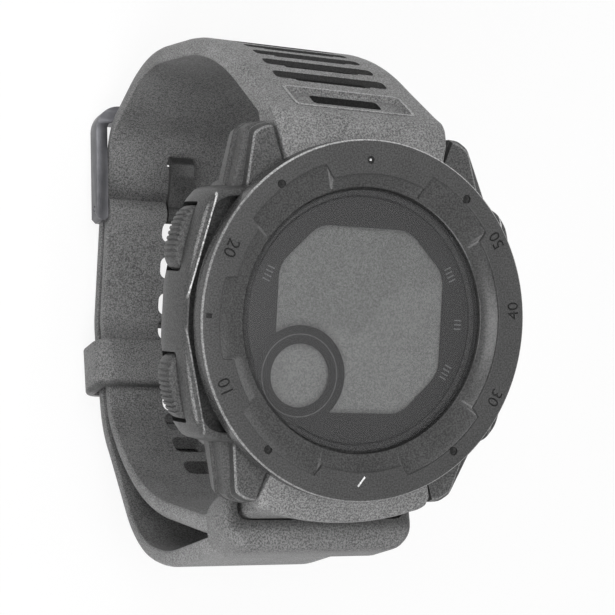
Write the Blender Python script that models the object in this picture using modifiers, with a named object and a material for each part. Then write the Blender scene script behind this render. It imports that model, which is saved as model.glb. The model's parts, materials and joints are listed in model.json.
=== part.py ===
"""Wrist-worn GPS unit with its strap buckled: case, inner parts, buttons, straps, buckle and keepers.

Metres, +Z up along the dial's normal, +X towards 3 o'clock and +Y towards 12 o'clock. Depths named
..._DEPTH are measured down from the top face of the bezel. The part rests on the back of its strap loop.
"""

import math

import bmesh
import bpy
from mathutils import Matrix, Vector

MM = 0.001

# Clearances
SEAT = 0.05 * MM  # between faces that are clamped together
FIT = 0.15 * MM  # round a piece that drops into its recess
RUN = 0.3 * MM  # round a piece that moves or bends
BORE_FIT = 0.1 * MM  # between a shaft and its bore

# Bezel and lens
BEZEL_RADIUS = 22.5 * MM
BEZEL_HEIGHT = 2.75 * MM
BEZEL_CHAMFER = 0.5 * MM
LABEL_RING_WIDTH = 3.3 * MM
LABEL_STEP = 0.5 * MM
SLOPED_RING_WIDTH = 2.2 * MM
SLOPED_RING_DROP = 0.5 * MM
RECESS_RADIUS = 0.55 * MM
RECESS_ANGLE = 39.0
RECESS_INSET = 1.9 * MM
LENS_RADIUS = 16.3 * MM
LENS_THICKNESS = 1.2 * MM
LENS_GASKET_WIDTH = 0.6 * MM
LENS_GASKET_HEIGHT = 0.3 * MM

# Display
WINDOW_SIDE = 23.4 * MM
WINDOW_CORNER = 5.2 * MM
PANEL_BORDER = 1.3 * MM
PANEL_THICKNESS = 1.4 * MM
MASK_THICKNESS = 0.15 * MM
SUB_WINDOW_X = 8.1 * MM
SUB_WINDOW_Y = 7.1 * MM
SUB_RING_INNER = 4.45 * MM
SUB_RING_OUTER = 5.8 * MM
SUB_RING_THICKNESS = 0.2 * MM
CARRIER_THICKNESS = 1.0 * MM
CARRIER_WINDOW = 9.0 * MM

# Middle case
CORE_RADIUS = 21.6 * MM
CASE_DEPTH = 11.2 * MM
FLANGE_THICKNESS = 1.0 * MM
CAVITY_RADIUS = 17.8 * MM
GUARD_HALF_WIDTH = 23.6 * MM
GUARD_HALF_LENGTH = 15.9 * MM
GUARD_TOP_DEPTH = 3.2 * MM
GUARD_WIDEST_DEPTH = 8.4 * MM
GUARD_SLOPE = 0.5 * MM
MOAT_DEPTH = 1.5 * MM
MOAT_WIDTH = 0.25 * MM
SHOULDER_THICKNESS = 1.6 * MM
LUG_TIPS = {1: 23.2 * MM, -1: 23.9 * MM}  # |Y| of the tips at 12 and 6 o'clock
LUG_STEPS = (  # (depth below the bezel, |X| at the guard, |X| at the tip, inset of the tip)
    (3.9 * MM, 15.9 * MM, 15.2 * MM, 0.5 * MM),
    (5.2 * MM, 16.1 * MM, 15.4 * MM, 0.1 * MM),
    (5.5 * MM, 17.8 * MM, 15.9 * MM, 0.0),
    (7.2 * MM, 18.0 * MM, 16.0 * MM, 0.0),
    (7.5 * MM, 18.9 * MM, 16.4 * MM, 0.0),
    (8.9 * MM, 18.8 * MM, 16.3 * MM, 0.3 * MM),
    (10.4 * MM, 17.8 * MM, 15.4 * MM, 1.8 * MM),
)
LUG_LEFT_FLARE = 1.6 * MM  # the three-button side flares further into the lugs
LUG_ROOT_Y = 14.0 * MM
LUG_END_Y = 23.3 * MM
LUG_BAR_Y = 21.5 * MM
LUG_BAR_DEPTH = 6.7 * MM
LUG_BAR_RADIUS = 0.75 * MM
LUG_BAR_SINK = 1.4 * MM
POCKET_Y = 19.0 * MM

# Back of the case
BACK_RADIUS = 20.3 * MM
BACK_THICKNESS = 2.6 * MM
BACK_FLOOR = 1.7 * MM
BACK_LIP_RADIUS = 16.0 * MM
BACK_CHAMFER = 1.1 * MM
BACK_GASKET_RADIUS = 18.25 * MM
BACK_GASKET_SIDE = 0.5 * MM
SENSOR_BOSS_RADIUS = 9.6 * MM
SENSOR_BOSS_RISE = 0.9 * MM
SENSOR_WINDOW_RADIUS = 6.6 * MM
SENSOR_WINDOW_THICKNESS = 1.7 * MM
SENSOR_SHELF = 0.8 * MM
SCREW_POS = 14.7 * MM
SCREW_EAR_RADIUS = 2.3 * MM
SCREW_EAR_STEP = 0.2 * MM
SCREW_HEAD_RADIUS = 1.5 * MM
SCREW_HEAD_HEIGHT = 1.0 * MM
SCREW_SHANK_RADIUS = 0.65 * MM
SCREW_LENGTH = 4.6 * MM
SOCKET_Y = 13.3 * MM
SOCKET_LENGTH = 7.6 * MM
SOCKET_WIDTH = 3.4 * MM
SOCKET_HEIGHT = 1.6 * MM
PORT_X = -13.6 * MM
PORT_RADIUS = 1.5 * MM
PORT_THICKNESS = 0.5 * MM

# Electronics
BOARD_THICKNESS = 0.8 * MM
BOARD_MARGIN = 0.5 * MM
CHIP_HEIGHT = 0.9 * MM
BATTERY_LENGTH = 23.0 * MM
BATTERY_WIDTH = 17.0 * MM
BATTERY_GAP = 1.05 * MM  # room for swelling, above the heart-rate board
BATTERY_Y = 0.6 * MM
MOTOR_RADIUS = 3.9 * MM
MOTOR_HEIGHT = 2.7 * MM
MOTOR_X = 2.6 * MM
MOTOR_Y = -12.6 * MM
BUZZER_X = -7.4 * MM
BUZZER_Y = -11.9 * MM
BUZZER_LENGTH = 5.0 * MM
BUZZER_WIDTH = 3.0 * MM
BUZZER_HEIGHT = 2.2 * MM
ANTENNA_WIDTH = 1.5 * MM
ANTENNA_HEIGHT = 2.0 * MM
ANTENNA_SPAN = 80.0
SENSOR_BOARD_RADIUS = 7.4 * MM
SENSOR_BOARD_THICKNESS = 0.5 * MM
SENSOR_LED_SIDE = 1.8 * MM
SENSOR_LED_HEIGHT = 0.9 * MM
CHIPS = (  # (x, y, length, width, height) under the main board
    (-5.5 * MM, 3.0 * MM, 7.0 * MM, 7.0 * MM, 0.9 * MM),
    (5.0 * MM, 4.5 * MM, 5.0 * MM, 5.0 * MM, 0.8 * MM),
    (6.5 * MM, -3.0 * MM, 4.0 * MM, 3.0 * MM, 0.7 * MM),
    (-4.0 * MM, -5.0 * MM, 3.2 * MM, 2.5 * MM, 0.8 * MM),
    (0.5 * MM, 9.5 * MM, 6.0 * MM, 2.5 * MM, 0.6 * MM),
)

# Buttons: clock angles from +X, counter-clockwise
RIGHT_BUTTONS = {"gps": 22.0, "set": -22.0}
LEFT_BUTTONS = {"light": 152.0, "menu": 180.0, "back": 208.0}
BUTTON_DEPTH = 8.2 * MM
BUTTON_LENGTH = 8.2 * MM
BUTTON_END_DROP = 1.3 * MM  # the outer face falls away towards both ends
BUTTON_TURN = 0.36  # share by which a cap faces more to the side than its shaft does
BUTTON_HEIGHT = 3.6 * MM
BUTTON_THICKNESS = 2.3 * MM
BUTTON_REACH = 25.5 * MM  # radius of the outer face
BUTTON_ROUNDING = 0.6 * MM
BUTTON_TRAVEL = 0.6 * MM
SHAFT_RADIUS = 0.8 * MM
SEAL_RADIUS = 1.35 * MM
SEAL_WIDTH = 0.8 * MM
CLIP_RADIUS = 1.45 * MM
CLIP_THICKNESS = 0.45 * MM
SWITCH_STRIP = 0.35 * MM
SWITCH_DOME_HEIGHT = 0.5 * MM
SWITCH_DOME_RADIUS = 1.2 * MM
SWITCH_STRIP_HEIGHT = 3.0 * MM

# Straps: thickness, widths and the lines that their outer faces follow, as (y, depth, heading in degrees)
STRAP_HALF_WIDTH = 11.7 * MM
TAIL_HALF_WIDTH = 11.2 * MM  # past the first keeper
STRAP_THICKNESS = 2.6 * MM
TAIL_THICKNESS = 2.3 * MM
TAIL_TIP_DEPTH = 13.4 * MM
ROOT_THICKNESS = 5.4 * MM
ROOT_HALF_WIDTH = 10.9 * MM
ROOT_FLARE = 1.6 * MM
ROOT_TOP_DEPTH = 3.05 * MM
STRAP_ROUNDING = 0.5 * MM
LAYER_GAP = 0.4 * MM
SHORT_NEAR_CASE = (26.3 * MM, 12.0 * MM, 73.0)
SHORT_SIDE = (29.7 * MM, 30.0 * MM, 90.0)
BUCKLE_BAR_DEPTH = 66.8 * MM
STRAP_FLAT_DEPTH = BUCKLE_BAR_DEPTH + 1.7 * MM
SHORT_SLOPE = (22.5 * MM, STRAP_FLAT_DEPTH - 9.5 * MM, 133.0)
SHORT_NEAR_BUCKLE = (3.0 * MM, STRAP_FLAT_DEPTH, 162.0)
SHORT_FLAT = (-8.0 * MM, STRAP_FLAT_DEPTH, 180.0)
TAIL_LIFT = 0.2 * MM  # extra room where the tail leaves the short strap
LONG_NEAR_CASE = (-29.8 * MM, 12.25 * MM, 119.6)
LONG_SIDE = (-37.9 * MM, 30.0 * MM, 90.0)
LONG_CORNER = (-37.7 * MM, STRAP_FLAT_DEPTH - 14.4 * MM, 56.0)
TAIL_UNDER_BUCKLE = (-28.0 * MM, STRAP_FLAT_DEPTH - 0.2 * MM, 11.3)
TAIL_SIDE = (36.4 * MM, 40.0 * MM, -90.0)
HOLE_PITCH = 5.7 * MM
HOLE_LENGTH = 3.4 * MM
HOLE_WIDTH = 5.4 * MM
FIRST_HOLE_Y = -22.9 * MM  # the hole that takes the buckle's tang
HOLES = 11
SHORT_HOLES = (2, 11)  # holes of the short strap, counted with those of the tail above it
SLOT_COUNT = 6
SLOT_PITCH = 4.6 * MM
SLOT_LENGTH = 15.0 * MM
SLOT_WIDTH = 1.5 * MM
SLOT_START_DEPTH = 9.5 * MM

# Buckle
BUCKLE_BAR_Y = -14.4 * MM
BUCKLE_BAR_RADIUS = 0.75 * MM
BUCKLE_LENGTH = 15.1 * MM  # from the spring bar to the middle of the cross bar
BUCKLE_SLOPE = 11.3
BUCKLE_RAIL = 1.8 * MM
BUCKLE_CROSSBAR = 2.7 * MM
BUCKLE_THICKNESS = 2.8 * MM
BUCKLE_SIDE_GAP = 0.2 * MM
BUCKLE_ROUNDING = 0.7 * MM
TANG_THICKNESS = 1.1 * MM
TANG_WIDTH = 3.8 * MM
TANG_GROOVE = 1.1 * MM
TANG_EYE_RADIUS = 1.5 * MM
TANG_PATH = (  # (y, depth) from the spring bar, through the strap's hole, to the cross bar
    (-0.5 * MM, -0.1 * MM),
    (-3.1 * MM, -0.9 * MM),
    (-6.1 * MM, -1.2 * MM),
    (-7.8 * MM, -1.05 * MM),
    (-8.5 * MM, -0.2 * MM),
    (-8.5 * MM, 2.9 * MM),
    (-9.3 * MM, 3.75 * MM),
    (-12.1 * MM, 4.0 * MM),
    (-16.0 * MM, 4.2 * MM),
)
BAR_BOSS_THICKNESS = 3.6 * MM
NOTCH_WIDTH = 4.6 * MM

# Keepers
KEEPER_WALL = 1.5 * MM
KEEPER_GAP = 0.25 * MM
KEEPER_SIDE_GAP = 0.25 * MM
KEEPERS = (  # name, line of the short strap, distance along it, length, outer wall, corner chamfer, closed end
    ("keeper_near_buckle", SHORT_NEAR_BUCKLE, -7.4 * MM, 7.3 * MM, 1.5 * MM, 1.6 * MM, 0.0),
    ("keeper_near_case", SHORT_NEAR_CASE, 1.57 * MM, 7.0 * MM, 1.2 * MM, 2.2 * MM, 1.5 * MM),
)

# Mesh fineness
RING_STEPS = 64
SMALL_STEPS = 16
ARC_STEP = 5.0
PHASE = 0.06  # turns a cutter's corners, in radians, clear of those of the piece it cuts


# Scene, collections and small helpers

for old in list(bpy.data.objects):
    bpy.data.objects.remove(old, do_unlink=True)

parts = bpy.data.collections.new("wrist_gps_unit")
cutters = bpy.data.collections.new("cutters")
bpy.context.scene.collection.children.link(parts)
bpy.context.scene.collection.children.link(cutters)
origin = bpy.data.objects.new("unit_origin", None)
parts.objects.link(origin)


def finish_of(name, colour, roughness, metallic=0.0):
    """One Principled material for a sub-part."""
    material = bpy.data.materials.new(name)
    material.use_nodes = True
    shader = material.node_tree.nodes["Principled BSDF"]
    shader.inputs["Base Color"].default_value = (*colour, 1.0)
    shader.inputs["Roughness"].default_value = roughness
    shader.inputs["Metallic"].default_value = metallic
    return material


CASE_GREY = ((0.075, 0.078, 0.08), 0.55)
STRAP_GREY = ((0.12, 0.122, 0.118), 0.62)
BUTTON_GREY = ((0.09, 0.095, 0.09), 0.5)
BLACK_GLOSS = ((0.03, 0.03, 0.032), 0.2)
RUBBER = ((0.03, 0.03, 0.03), 0.7)
STEEL = ((0.5, 0.5, 0.52), 0.3, 1.0)
BOARD_GREEN = ((0.02, 0.12, 0.06), 0.5)
SILVER = ((0.6, 0.6, 0.6), 0.4, 1.0)


def piece(obj, name, finish):
    """Files an object as a sub-part of the unit, with a material of its own."""
    obj.name = name
    obj.data.name = name
    obj.data.materials.clear()
    obj.data.materials.append(finish_of(name, *finish))
    move_to(obj, parts)
    return obj


def move_to(obj, collection):
    for user in list(obj.users_collection):
        user.objects.unlink(obj)
    collection.objects.link(obj)
    if obj.parent is None and obj is not origin:
        obj.parent = origin


def tool(obj):
    """Files an object as a cutter or a shape to be joined."""
    move_to(obj, cutters)
    obj.hide_render = True
    obj.display_type = "WIRE"
    return obj


def new_object(name, mesh):
    obj = bpy.data.objects.new(name, mesh)
    parts.objects.link(obj)
    return obj


def boolean(target, other, operation):
    change = target.modifiers.new(other.name, "BOOLEAN")
    change.object = tool(other)
    change.operation = operation
    change.solver = "EXACT"


def cut(target, *others):
    for other in others:
        boolean(target, other, "DIFFERENCE")


def join(target, *others):
    for other in others:
        boolean(target, other, "UNION")


def turned(name, profile, steps=RING_STEPS, closed=True, phase=0.0):
    """Turns a profile of (radius, height) points, outer side first and running down, about Z."""
    mesh = bpy.data.meshes.new(name)
    points = [(radius * math.cos(phase), radius * math.sin(phase), height) for radius, height in profile]
    count = len(points)
    edges = [(i, (i + 1) % count) for i in range(count if closed else count - 1)]
    mesh.from_pydata(points, edges, [])
    obj = new_object(name, mesh)
    screw = obj.modifiers.new("turn", "SCREW")
    screw.axis = "Z"
    screw.angle = 2.0 * math.pi
    screw.steps = steps
    screw.render_steps = steps
    screw.use_merge_vertices = True
    screw.merge_threshold = 0.00001
    screw.use_smooth_shade = True
    return obj


def disc(name, radius, top, bottom, steps=RING_STEPS, phase=0.0):
    """A plain disc between two heights."""
    profile = [(0.0, top), (radius, top), (radius, bottom), (0.0, bottom)]
    return turned(name, profile, steps, closed=False, phase=phase)


def ring(name, inner, outer, top, bottom, steps=RING_STEPS, phase=0.0):
    return turned(name, [(outer, top), (outer, bottom), (inner, bottom), (inner, top)], steps, phase=phase)


def box(name, size, centre, rounding=0.0, segments=2):
    bpy.ops.mesh.primitive_cube_add(size=1.0, location=(0.0, 0.0, 0.0))
    obj = bpy.context.object
    obj.name = name
    obj.data.transform(Matrix.Diagonal((*size, 1.0)))
    obj.location = centre
    if rounding > 0.0:
        bevel = obj.modifiers.new("rounding", "BEVEL")
        bevel.width = rounding
        bevel.segments = segments
        bevel.limit_method = "ANGLE"
    move_to(obj, parts)
    return obj


def bar(name, radius, length, steps=SMALL_STEPS, tip=0.0, phase=0.0):
    """A round bar along X, centred on its origin, with chamfered tips."""
    half = length / 2.0
    upper = [(0.0, half), (radius - tip, half), (radius, half - tip)] if tip else [(0.0, half), (radius, half)]
    lower = [(r, -z) for r, z in reversed(upper)]
    obj = turned(name, upper + lower, steps, closed=False, phase=phase)
    obj.rotation_euler = (0.0, math.radians(90.0), 0.0)
    return obj


def slab(name, outlines, low, high):
    """A flat outline, with any holes as further outlines, between two heights."""
    curve = bpy.data.curves.new(name, "CURVE")
    curve.dimensions = "2D"
    curve.fill_mode = "BOTH"
    curve.extrude = (high - low) / 2.0
    for outline in outlines:
        spline = curve.splines.new("POLY")
        spline.points.add(len(outline) - 1)
        for point, (x, y) in zip(spline.points, outline):
            point.co = (x, y, 0.0, 1.0)
        spline.use_cyclic_u = True
    draft = new_object(name + "_outline", curve)
    graph = bpy.context.evaluated_depsgraph_get()
    mesh = bpy.data.meshes.new_from_object(draft.evaluated_get(graph))
    bpy.data.objects.remove(draft, do_unlink=True)
    work = bmesh.new()
    work.from_mesh(mesh)
    bmesh.ops.remove_doubles(work, verts=work.verts, dist=0.000001)
    bmesh.ops.translate(work, verts=work.verts, vec=(0.0, 0.0, (high + low) / 2.0))
    bmesh.ops.recalc_face_normals(work, faces=work.faces)
    work.to_mesh(mesh)
    work.free()
    return new_object(name, mesh)


def round_outline(half_x, half_y, radius, steps=4):
    """A rectangle with rounded corners, counter-clockwise."""
    outline = []
    for corner, (sx, sy) in enumerate(((1, 1), (-1, 1), (-1, -1), (1, -1))):
        for k in range(steps + 1):
            angle = math.radians(90.0 * corner + 90.0 * k / steps)
            outline.append(
                (sx * (half_x - radius) + radius * math.cos(angle), sy * (half_y - radius) + radius * math.sin(angle))
            )
    return outline


def mirrored(quarter):
    """A closed outline from its points in the first quarter, given counter-clockwise from +X to +Y."""
    half = quarter + [(-x, y) for x, y in reversed(quarter)]
    return half + [(-x, -y) for x, y in half]


def loft(name, sections):
    """A closed solid through sections that are rings of as many points each."""
    work = bmesh.new()
    rings = [[work.verts.new(point) for point in section] for section in sections]
    count = len(rings[0])
    for first, second in zip(rings, rings[1:]):
        for k in range(count):
            work.faces.new((first[k], first[(k + 1) % count], second[(k + 1) % count], second[k]))
    work.faces.new(list(reversed(rings[0])))
    work.faces.new(rings[-1])
    bmesh.ops.recalc_face_normals(work, faces=work.faces)
    mesh = bpy.data.meshes.new(name)
    work.to_mesh(mesh)
    work.free()
    return new_object(name, mesh)


# Bezel, lens and display


def make_bezel():
    label_inner = BEZEL_RADIUS - LABEL_RING_WIDTH
    slope_outer = label_inner - FIT
    slope_inner = slope_outer - SLOPED_RING_WIDTH
    bore = LENS_RADIUS + 2.0 * FIT
    bezel = turned(
        "bezel",
        [
            (BEZEL_RADIUS - BEZEL_CHAMFER, 0.0),
            (BEZEL_RADIUS, -BEZEL_CHAMFER),
            (BEZEL_RADIUS, -BEZEL_HEIGHT),
            (bore, -BEZEL_HEIGHT),
            (bore, -LABEL_STEP - SLOPED_RING_DROP),
            (slope_inner, -LABEL_STEP - SLOPED_RING_DROP),
            (slope_outer, -LABEL_STEP),
            (label_inner, 0.0),
        ],
    )
    for k in range(4):
        side = (1, -1)[k % 2]
        angle = math.radians(90.0 * (1 if k < 2 else -1) + side * RECESS_ANGLE)
        radius = BEZEL_RADIUS - RECESS_INSET
        dimple = disc("recess_cut_%d" % k, RECESS_RADIUS, LABEL_STEP, -LABEL_STEP, SMALL_STEPS)
        dimple.location = (radius * math.cos(angle), radius * math.sin(angle), 0.0)
        cut(bezel, dimple)
    return piece(bezel, "bezel", CASE_GREY)


# Depths of the stack under the bezel, one after the other
LENS_BOTTOM = BEZEL_HEIGHT - LENS_GASKET_HEIGHT - SEAT
LENS_TOP = LENS_BOTTOM - LENS_THICKNESS
CORE_TOP = BEZEL_HEIGHT + SEAT
FLANGE_BORE = LENS_RADIUS - LENS_GASKET_WIDTH - FIT
MASK_TOP = LENS_BOTTOM + SEAT
RING_TOP = MASK_TOP + MASK_THICKNESS + SEAT
PANEL_TOP = RING_TOP + SUB_RING_THICKNESS + SEAT
CARRIER_TOP = PANEL_TOP + PANEL_THICKNESS + SEAT
BOARD_TOP = CARRIER_TOP + CARRIER_THICKNESS + FIT
BOARD_BOTTOM = BOARD_TOP + BOARD_THICKNESS
UNDER_BOARD = BOARD_BOTTOM + 2.0 * SEAT
INNER_RADIUS = CAVITY_RADIUS - FIT


def window_outline(half, corner):
    return mirrored([(half, half - corner), (half - corner, half)])


def make_display():
    lens = turned(
        "lens",
        [
            (0.0, -LENS_TOP),
            (LENS_RADIUS - SEAT * 4, -LENS_TOP),
            (LENS_RADIUS, -LENS_TOP - SEAT * 4),
            (LENS_RADIUS, -LENS_BOTTOM),
            (0.0, -LENS_BOTTOM),
        ],
        closed=False,
    )
    piece(lens, "lens", BLACK_GLOSS)
    gasket_top = -LENS_BOTTOM - SEAT
    gasket = ring("lens_gasket", LENS_RADIUS - LENS_GASKET_WIDTH, LENS_RADIUS, gasket_top, gasket_top - LENS_GASKET_HEIGHT)
    piece(gasket, "lens_gasket", RUBBER)
    mask = disc("display_mask", FLANGE_BORE - FIT, -MASK_TOP, -MASK_TOP - MASK_THICKNESS)
    window = slab("window_cut", [window_outline(WINDOW_SIDE / 2.0, WINDOW_CORNER)], -MASK_TOP - MM, -MASK_TOP + MM)
    sub_window = disc("sub_window_cut", SUB_RING_INNER, -MASK_TOP + MM, -MASK_TOP - MM, 32)
    sub_window.location = (SUB_WINDOW_X, SUB_WINDOW_Y, 0.0)
    cut(mask, window, sub_window)
    piece(mask, "display_mask", RUBBER)
    sub_ring = ring("sub_window_ring", SUB_RING_INNER, SUB_RING_OUTER, -RING_TOP, -RING_TOP - SUB_RING_THICKNESS, 32)
    sub_ring.location = (SUB_WINDOW_X, SUB_WINDOW_Y, 0.0)
    boolean(sub_ring, disc("sub_ring_limit", FLANGE_BORE - FIT, 0.0, -CASE_DEPTH), "INTERSECT")
    piece(sub_ring, "sub_window_ring", RUBBER)
    half = WINDOW_SIDE / 2.0 + PANEL_BORDER
    panel = slab("display_panel", [window_outline(half, WINDOW_CORNER)], -PANEL_TOP - PANEL_THICKNESS, -PANEL_TOP)
    piece(panel, "display_panel", ((0.2, 0.2, 0.19), 0.3))
    carrier = disc("display_carrier", INNER_RADIUS, -CARRIER_TOP, -CARRIER_TOP - CARRIER_THICKNESS)
    opening = box(
        "carrier_cut",
        (CARRIER_WINDOW, CARRIER_WINDOW, 4.0 * CARRIER_THICKNESS),
        (0.0, 0.0, -CARRIER_TOP - CARRIER_THICKNESS / 2.0),
    )
    cut(carrier, opening)
    piece(carrier, "display_carrier", CASE_GREY)


# Middle case


def guard_outline(inset, top):
    """The case seen from above without its lugs; the guards stand out at 3 and 9 o'clock."""
    wide = GUARD_HALF_WIDTH - inset
    end = GUARD_HALF_LENGTH - inset
    quarter = [
        (wide, 3.4 * MM),
        (wide - 0.85 * MM, end * 0.55),
        (wide - 1.95 * MM, end * 0.84),
        (wide - 3.5 * MM, end * 0.965),
        (wide - 6.2 * MM, end),
        (wide - 9.8 * MM, end + 0.3 * MM),
    ]
    return [(x, y, -top) for x, y in mirrored(quarter)]


def make_mid_case():
    case = loft(
        "mid_case",
        [
            guard_outline(GUARD_SLOPE, GUARD_TOP_DEPTH),
            guard_outline(GUARD_SLOPE * 0.6, GUARD_TOP_DEPTH + 1.0 * MM),
            guard_outline(0.0, GUARD_WIDEST_DEPTH),
            guard_outline(0.0, CASE_DEPTH - 1.2 * MM),
            guard_outline(0.7 * MM, CASE_DEPTH),
        ],
    )
    lip = SHOULDER_THICKNESS
    moat_x = BEZEL_RADIUS + MOAT_WIDTH
    moat = slab(
        "moat_cut",
        [
            mirrored(
                [
                    (moat_x, 2.4 * MM),
                    (moat_x - 1.1 * MM, 6.6 * MM),
                    (moat_x - 2.7 * MM, GUARD_HALF_LENGTH - lip - 1.0 * MM),
                    (moat_x - 4.4 * MM, GUARD_HALF_LENGTH - lip),
                    (2.0 * MM, GUARD_HALF_LENGTH - lip + 0.4 * MM),
                ]
            )
        ],
        -GUARD_TOP_DEPTH - MOAT_DEPTH,
        0.0,
    )
    cut(case, moat)
    for sx in (1, -1):
        for sy in (1, -1):
            join(case, make_lug(sx, sy))
    join(case, disc("core_join", CORE_RADIUS, -CORE_TOP, -CASE_DEPTH))
    cavity_top = -CORE_TOP - FLANGE_THICKNESS
    cavity = turned(
        "cavity_cut",
        [
            (0.0, 0.0),
            (FLANGE_BORE, 0.0),
            (FLANGE_BORE, cavity_top),
            (CAVITY_RADIUS, cavity_top),
            (CAVITY_RADIUS, -CASE_DEPTH + BACK_GASKET_SIDE),
            (BACK_GASKET_RADIUS + BACK_GASKET_SIDE / 2.0 + BORE_FIT, -CASE_DEPTH + BACK_GASKET_SIDE),
            (BACK_GASKET_RADIUS + BACK_GASKET_SIDE / 2.0 + BORE_FIT, -CASE_DEPTH - MM),
            (0.0, -CASE_DEPTH - MM),
        ],
        closed=False,
    )
    cut(case, cavity)
    for sy, side in ((1, "twelve"), (-1, "six")):
        reach = LUG_END_Y - POCKET_Y + 4.0 * MM
        inner = ROOT_HALF_WIDTH + RUN
        flare = inner + ROOT_FLARE * reach / (LUG_END_Y - POCKET_Y)
        outline = [(inner, sy * POCKET_Y), (flare, sy * (POCKET_Y + reach))]
        outline += [(-x, y) for x, y in reversed(outline)]
        cut(case, slab("strap_pocket_" + side, [outline], -CASE_DEPTH - MM, -CORE_TOP + 0.1 * MM))
        hole_half = lug_inner_x(LUG_BAR_Y) + LUG_BAR_SINK
        hole = bar("lug_hole_" + side, LUG_BAR_RADIUS + FIT, 2.0 * hole_half, phase=PHASE)
        hole.location = (0.0, sy * LUG_BAR_Y, -LUG_BAR_DEPTH)
        cut(case, hole)
    for k, (x, y) in enumerate(screw_places()):
        hole = disc("screw_hole_%d" % k, SCREW_SHANK_RADIUS + BORE_FIT, -screw_tip() + FIT, -CASE_DEPTH - MM, SMALL_STEPS)
        hole.location = (x, y, 0.0)
        cut(case, hole)
    for name, angle in all_buttons():
        cut(case, button_bore(name, angle), button_pocket(name, angle))
    return piece(case, "mid_case", CASE_GREY)


def lug_inner_x(y):
    """Inner side of a lug, which slants outwards to its tip, as the strap's end does."""
    return ROOT_HALF_WIDTH + RUN + ROOT_FLARE * (y - POCKET_Y) / (LUG_END_Y - POCKET_Y)


def make_lug(sx, sy):
    """One lug as a loft of level outlines; its outer side and tip step out on the way down."""
    tip = LUG_TIPS[sy]
    inner_x = lug_inner_x(POCKET_Y) - 1.0 * MM
    flare = LUG_LEFT_FLARE if sx < 0 else 0.0
    levels = []
    for depth, guard_x, tip_x, inset in LUG_STEPS:
        outline = [
            (inner_x, LUG_ROOT_Y),
            (guard_x + flare, LUG_ROOT_Y + 1.2 * MM),
            (tip_x + flare * 0.1, tip - inset - 1.0 * MM),
            (tip_x - 1.5 * MM, tip - inset - 0.1 * MM),
            (lug_inner_x(tip) - 1.0 * MM, tip - inset),
            (inner_x, POCKET_Y),
        ]
        levels.append([(sx * x, sy * y, -depth) for x, y in outline])
    return loft("lug_join_%s%s" % ("r" if sx > 0 else "l", "u" if sy > 0 else "d"), levels)


def screw_places():
    return [(sx * SCREW_POS, sy * SCREW_POS) for sx in (1, -1) for sy in (1, -1)]


def all_buttons():
    return list(RIGHT_BUTTONS.items()) + list(LEFT_BUTTONS.items())


def button_bore(name, angle):
    """Bore for the shaft, with the seal's wider seat at its outer end."""
    wall_out = CORE_RADIUS + 3.0 * MM
    seat_in = seal_radius_place() - SEAL_WIDTH / 2.0 - SEAT
    profile = [
        (0.0, wall_out),
        (SEAL_RADIUS + SEAT, wall_out),
        (SEAL_RADIUS + SEAT, seat_in),
        (SHAFT_RADIUS + BORE_FIT, seat_in),
        (SHAFT_RADIUS + BORE_FIT, CAVITY_RADIUS - MM),
        (0.0, CAVITY_RADIUS - MM),
    ]
    bore = turned("bore_" + name, profile, SMALL_STEPS, closed=False)
    turn = math.radians(angle)
    bore.rotation_euler = (0.0, math.radians(90.0), turn)
    bore.location = (0.0, 0.0, -BUTTON_DEPTH)
    return bore


def seal_radius_place():
    return CAVITY_RADIUS + 1.5 * MM


def pocket_floor():
    """Radius at which a button's pocket ends."""
    return BUTTON_REACH - BUTTON_THICKNESS - BUTTON_TRAVEL - FIT


def button_pocket(name, angle):
    depth = 6.0 * MM
    size = (depth, BUTTON_LENGTH + 2.0 * RUN, BUTTON_HEIGHT + 2.0 * RUN)
    pocket = box("pocket_" + name, size, (0.0, 0.0, 0.0))
    return face_sideways(pocket, angle, pocket_floor() + depth / 2.0)


def face_sideways(obj, angle, radius):
    """Places a cap or its pocket, modelled with +X outwards, on the facet of the guard."""
    side = 180.0 if math.cos(math.radians(angle)) < 0.0 else 0.0
    facing = math.radians(side + (angle - side) * (1.0 - BUTTON_TURN))
    turn = math.radians(angle)
    out = radius - BUTTON_REACH
    x = BUTTON_REACH * math.cos(turn) + out * math.cos(facing)
    y = BUTTON_REACH * math.sin(turn) + out * math.sin(facing)
    obj.location = (x, y, -BUTTON_DEPTH)
    obj.rotation_euler = (0.0, 0.0, facing)
    return obj


# Back cover with its window, gasket and screws


def back_top():
    return CASE_DEPTH + SEAT


def sensor_board_top():
    """Depth of the heart-rate board's upper face, over the floor of the back cover."""
    return back_top() + BACK_THICKNESS - BACK_FLOOR - 2 * SEAT - SENSOR_BOARD_THICKNESS


def screw_head_bottom():
    return back_top() + BACK_THICKNESS - 0.3 * MM


def screw_tip():
    return screw_head_bottom() - SCREW_HEAD_HEIGHT - SCREW_LENGTH


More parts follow.
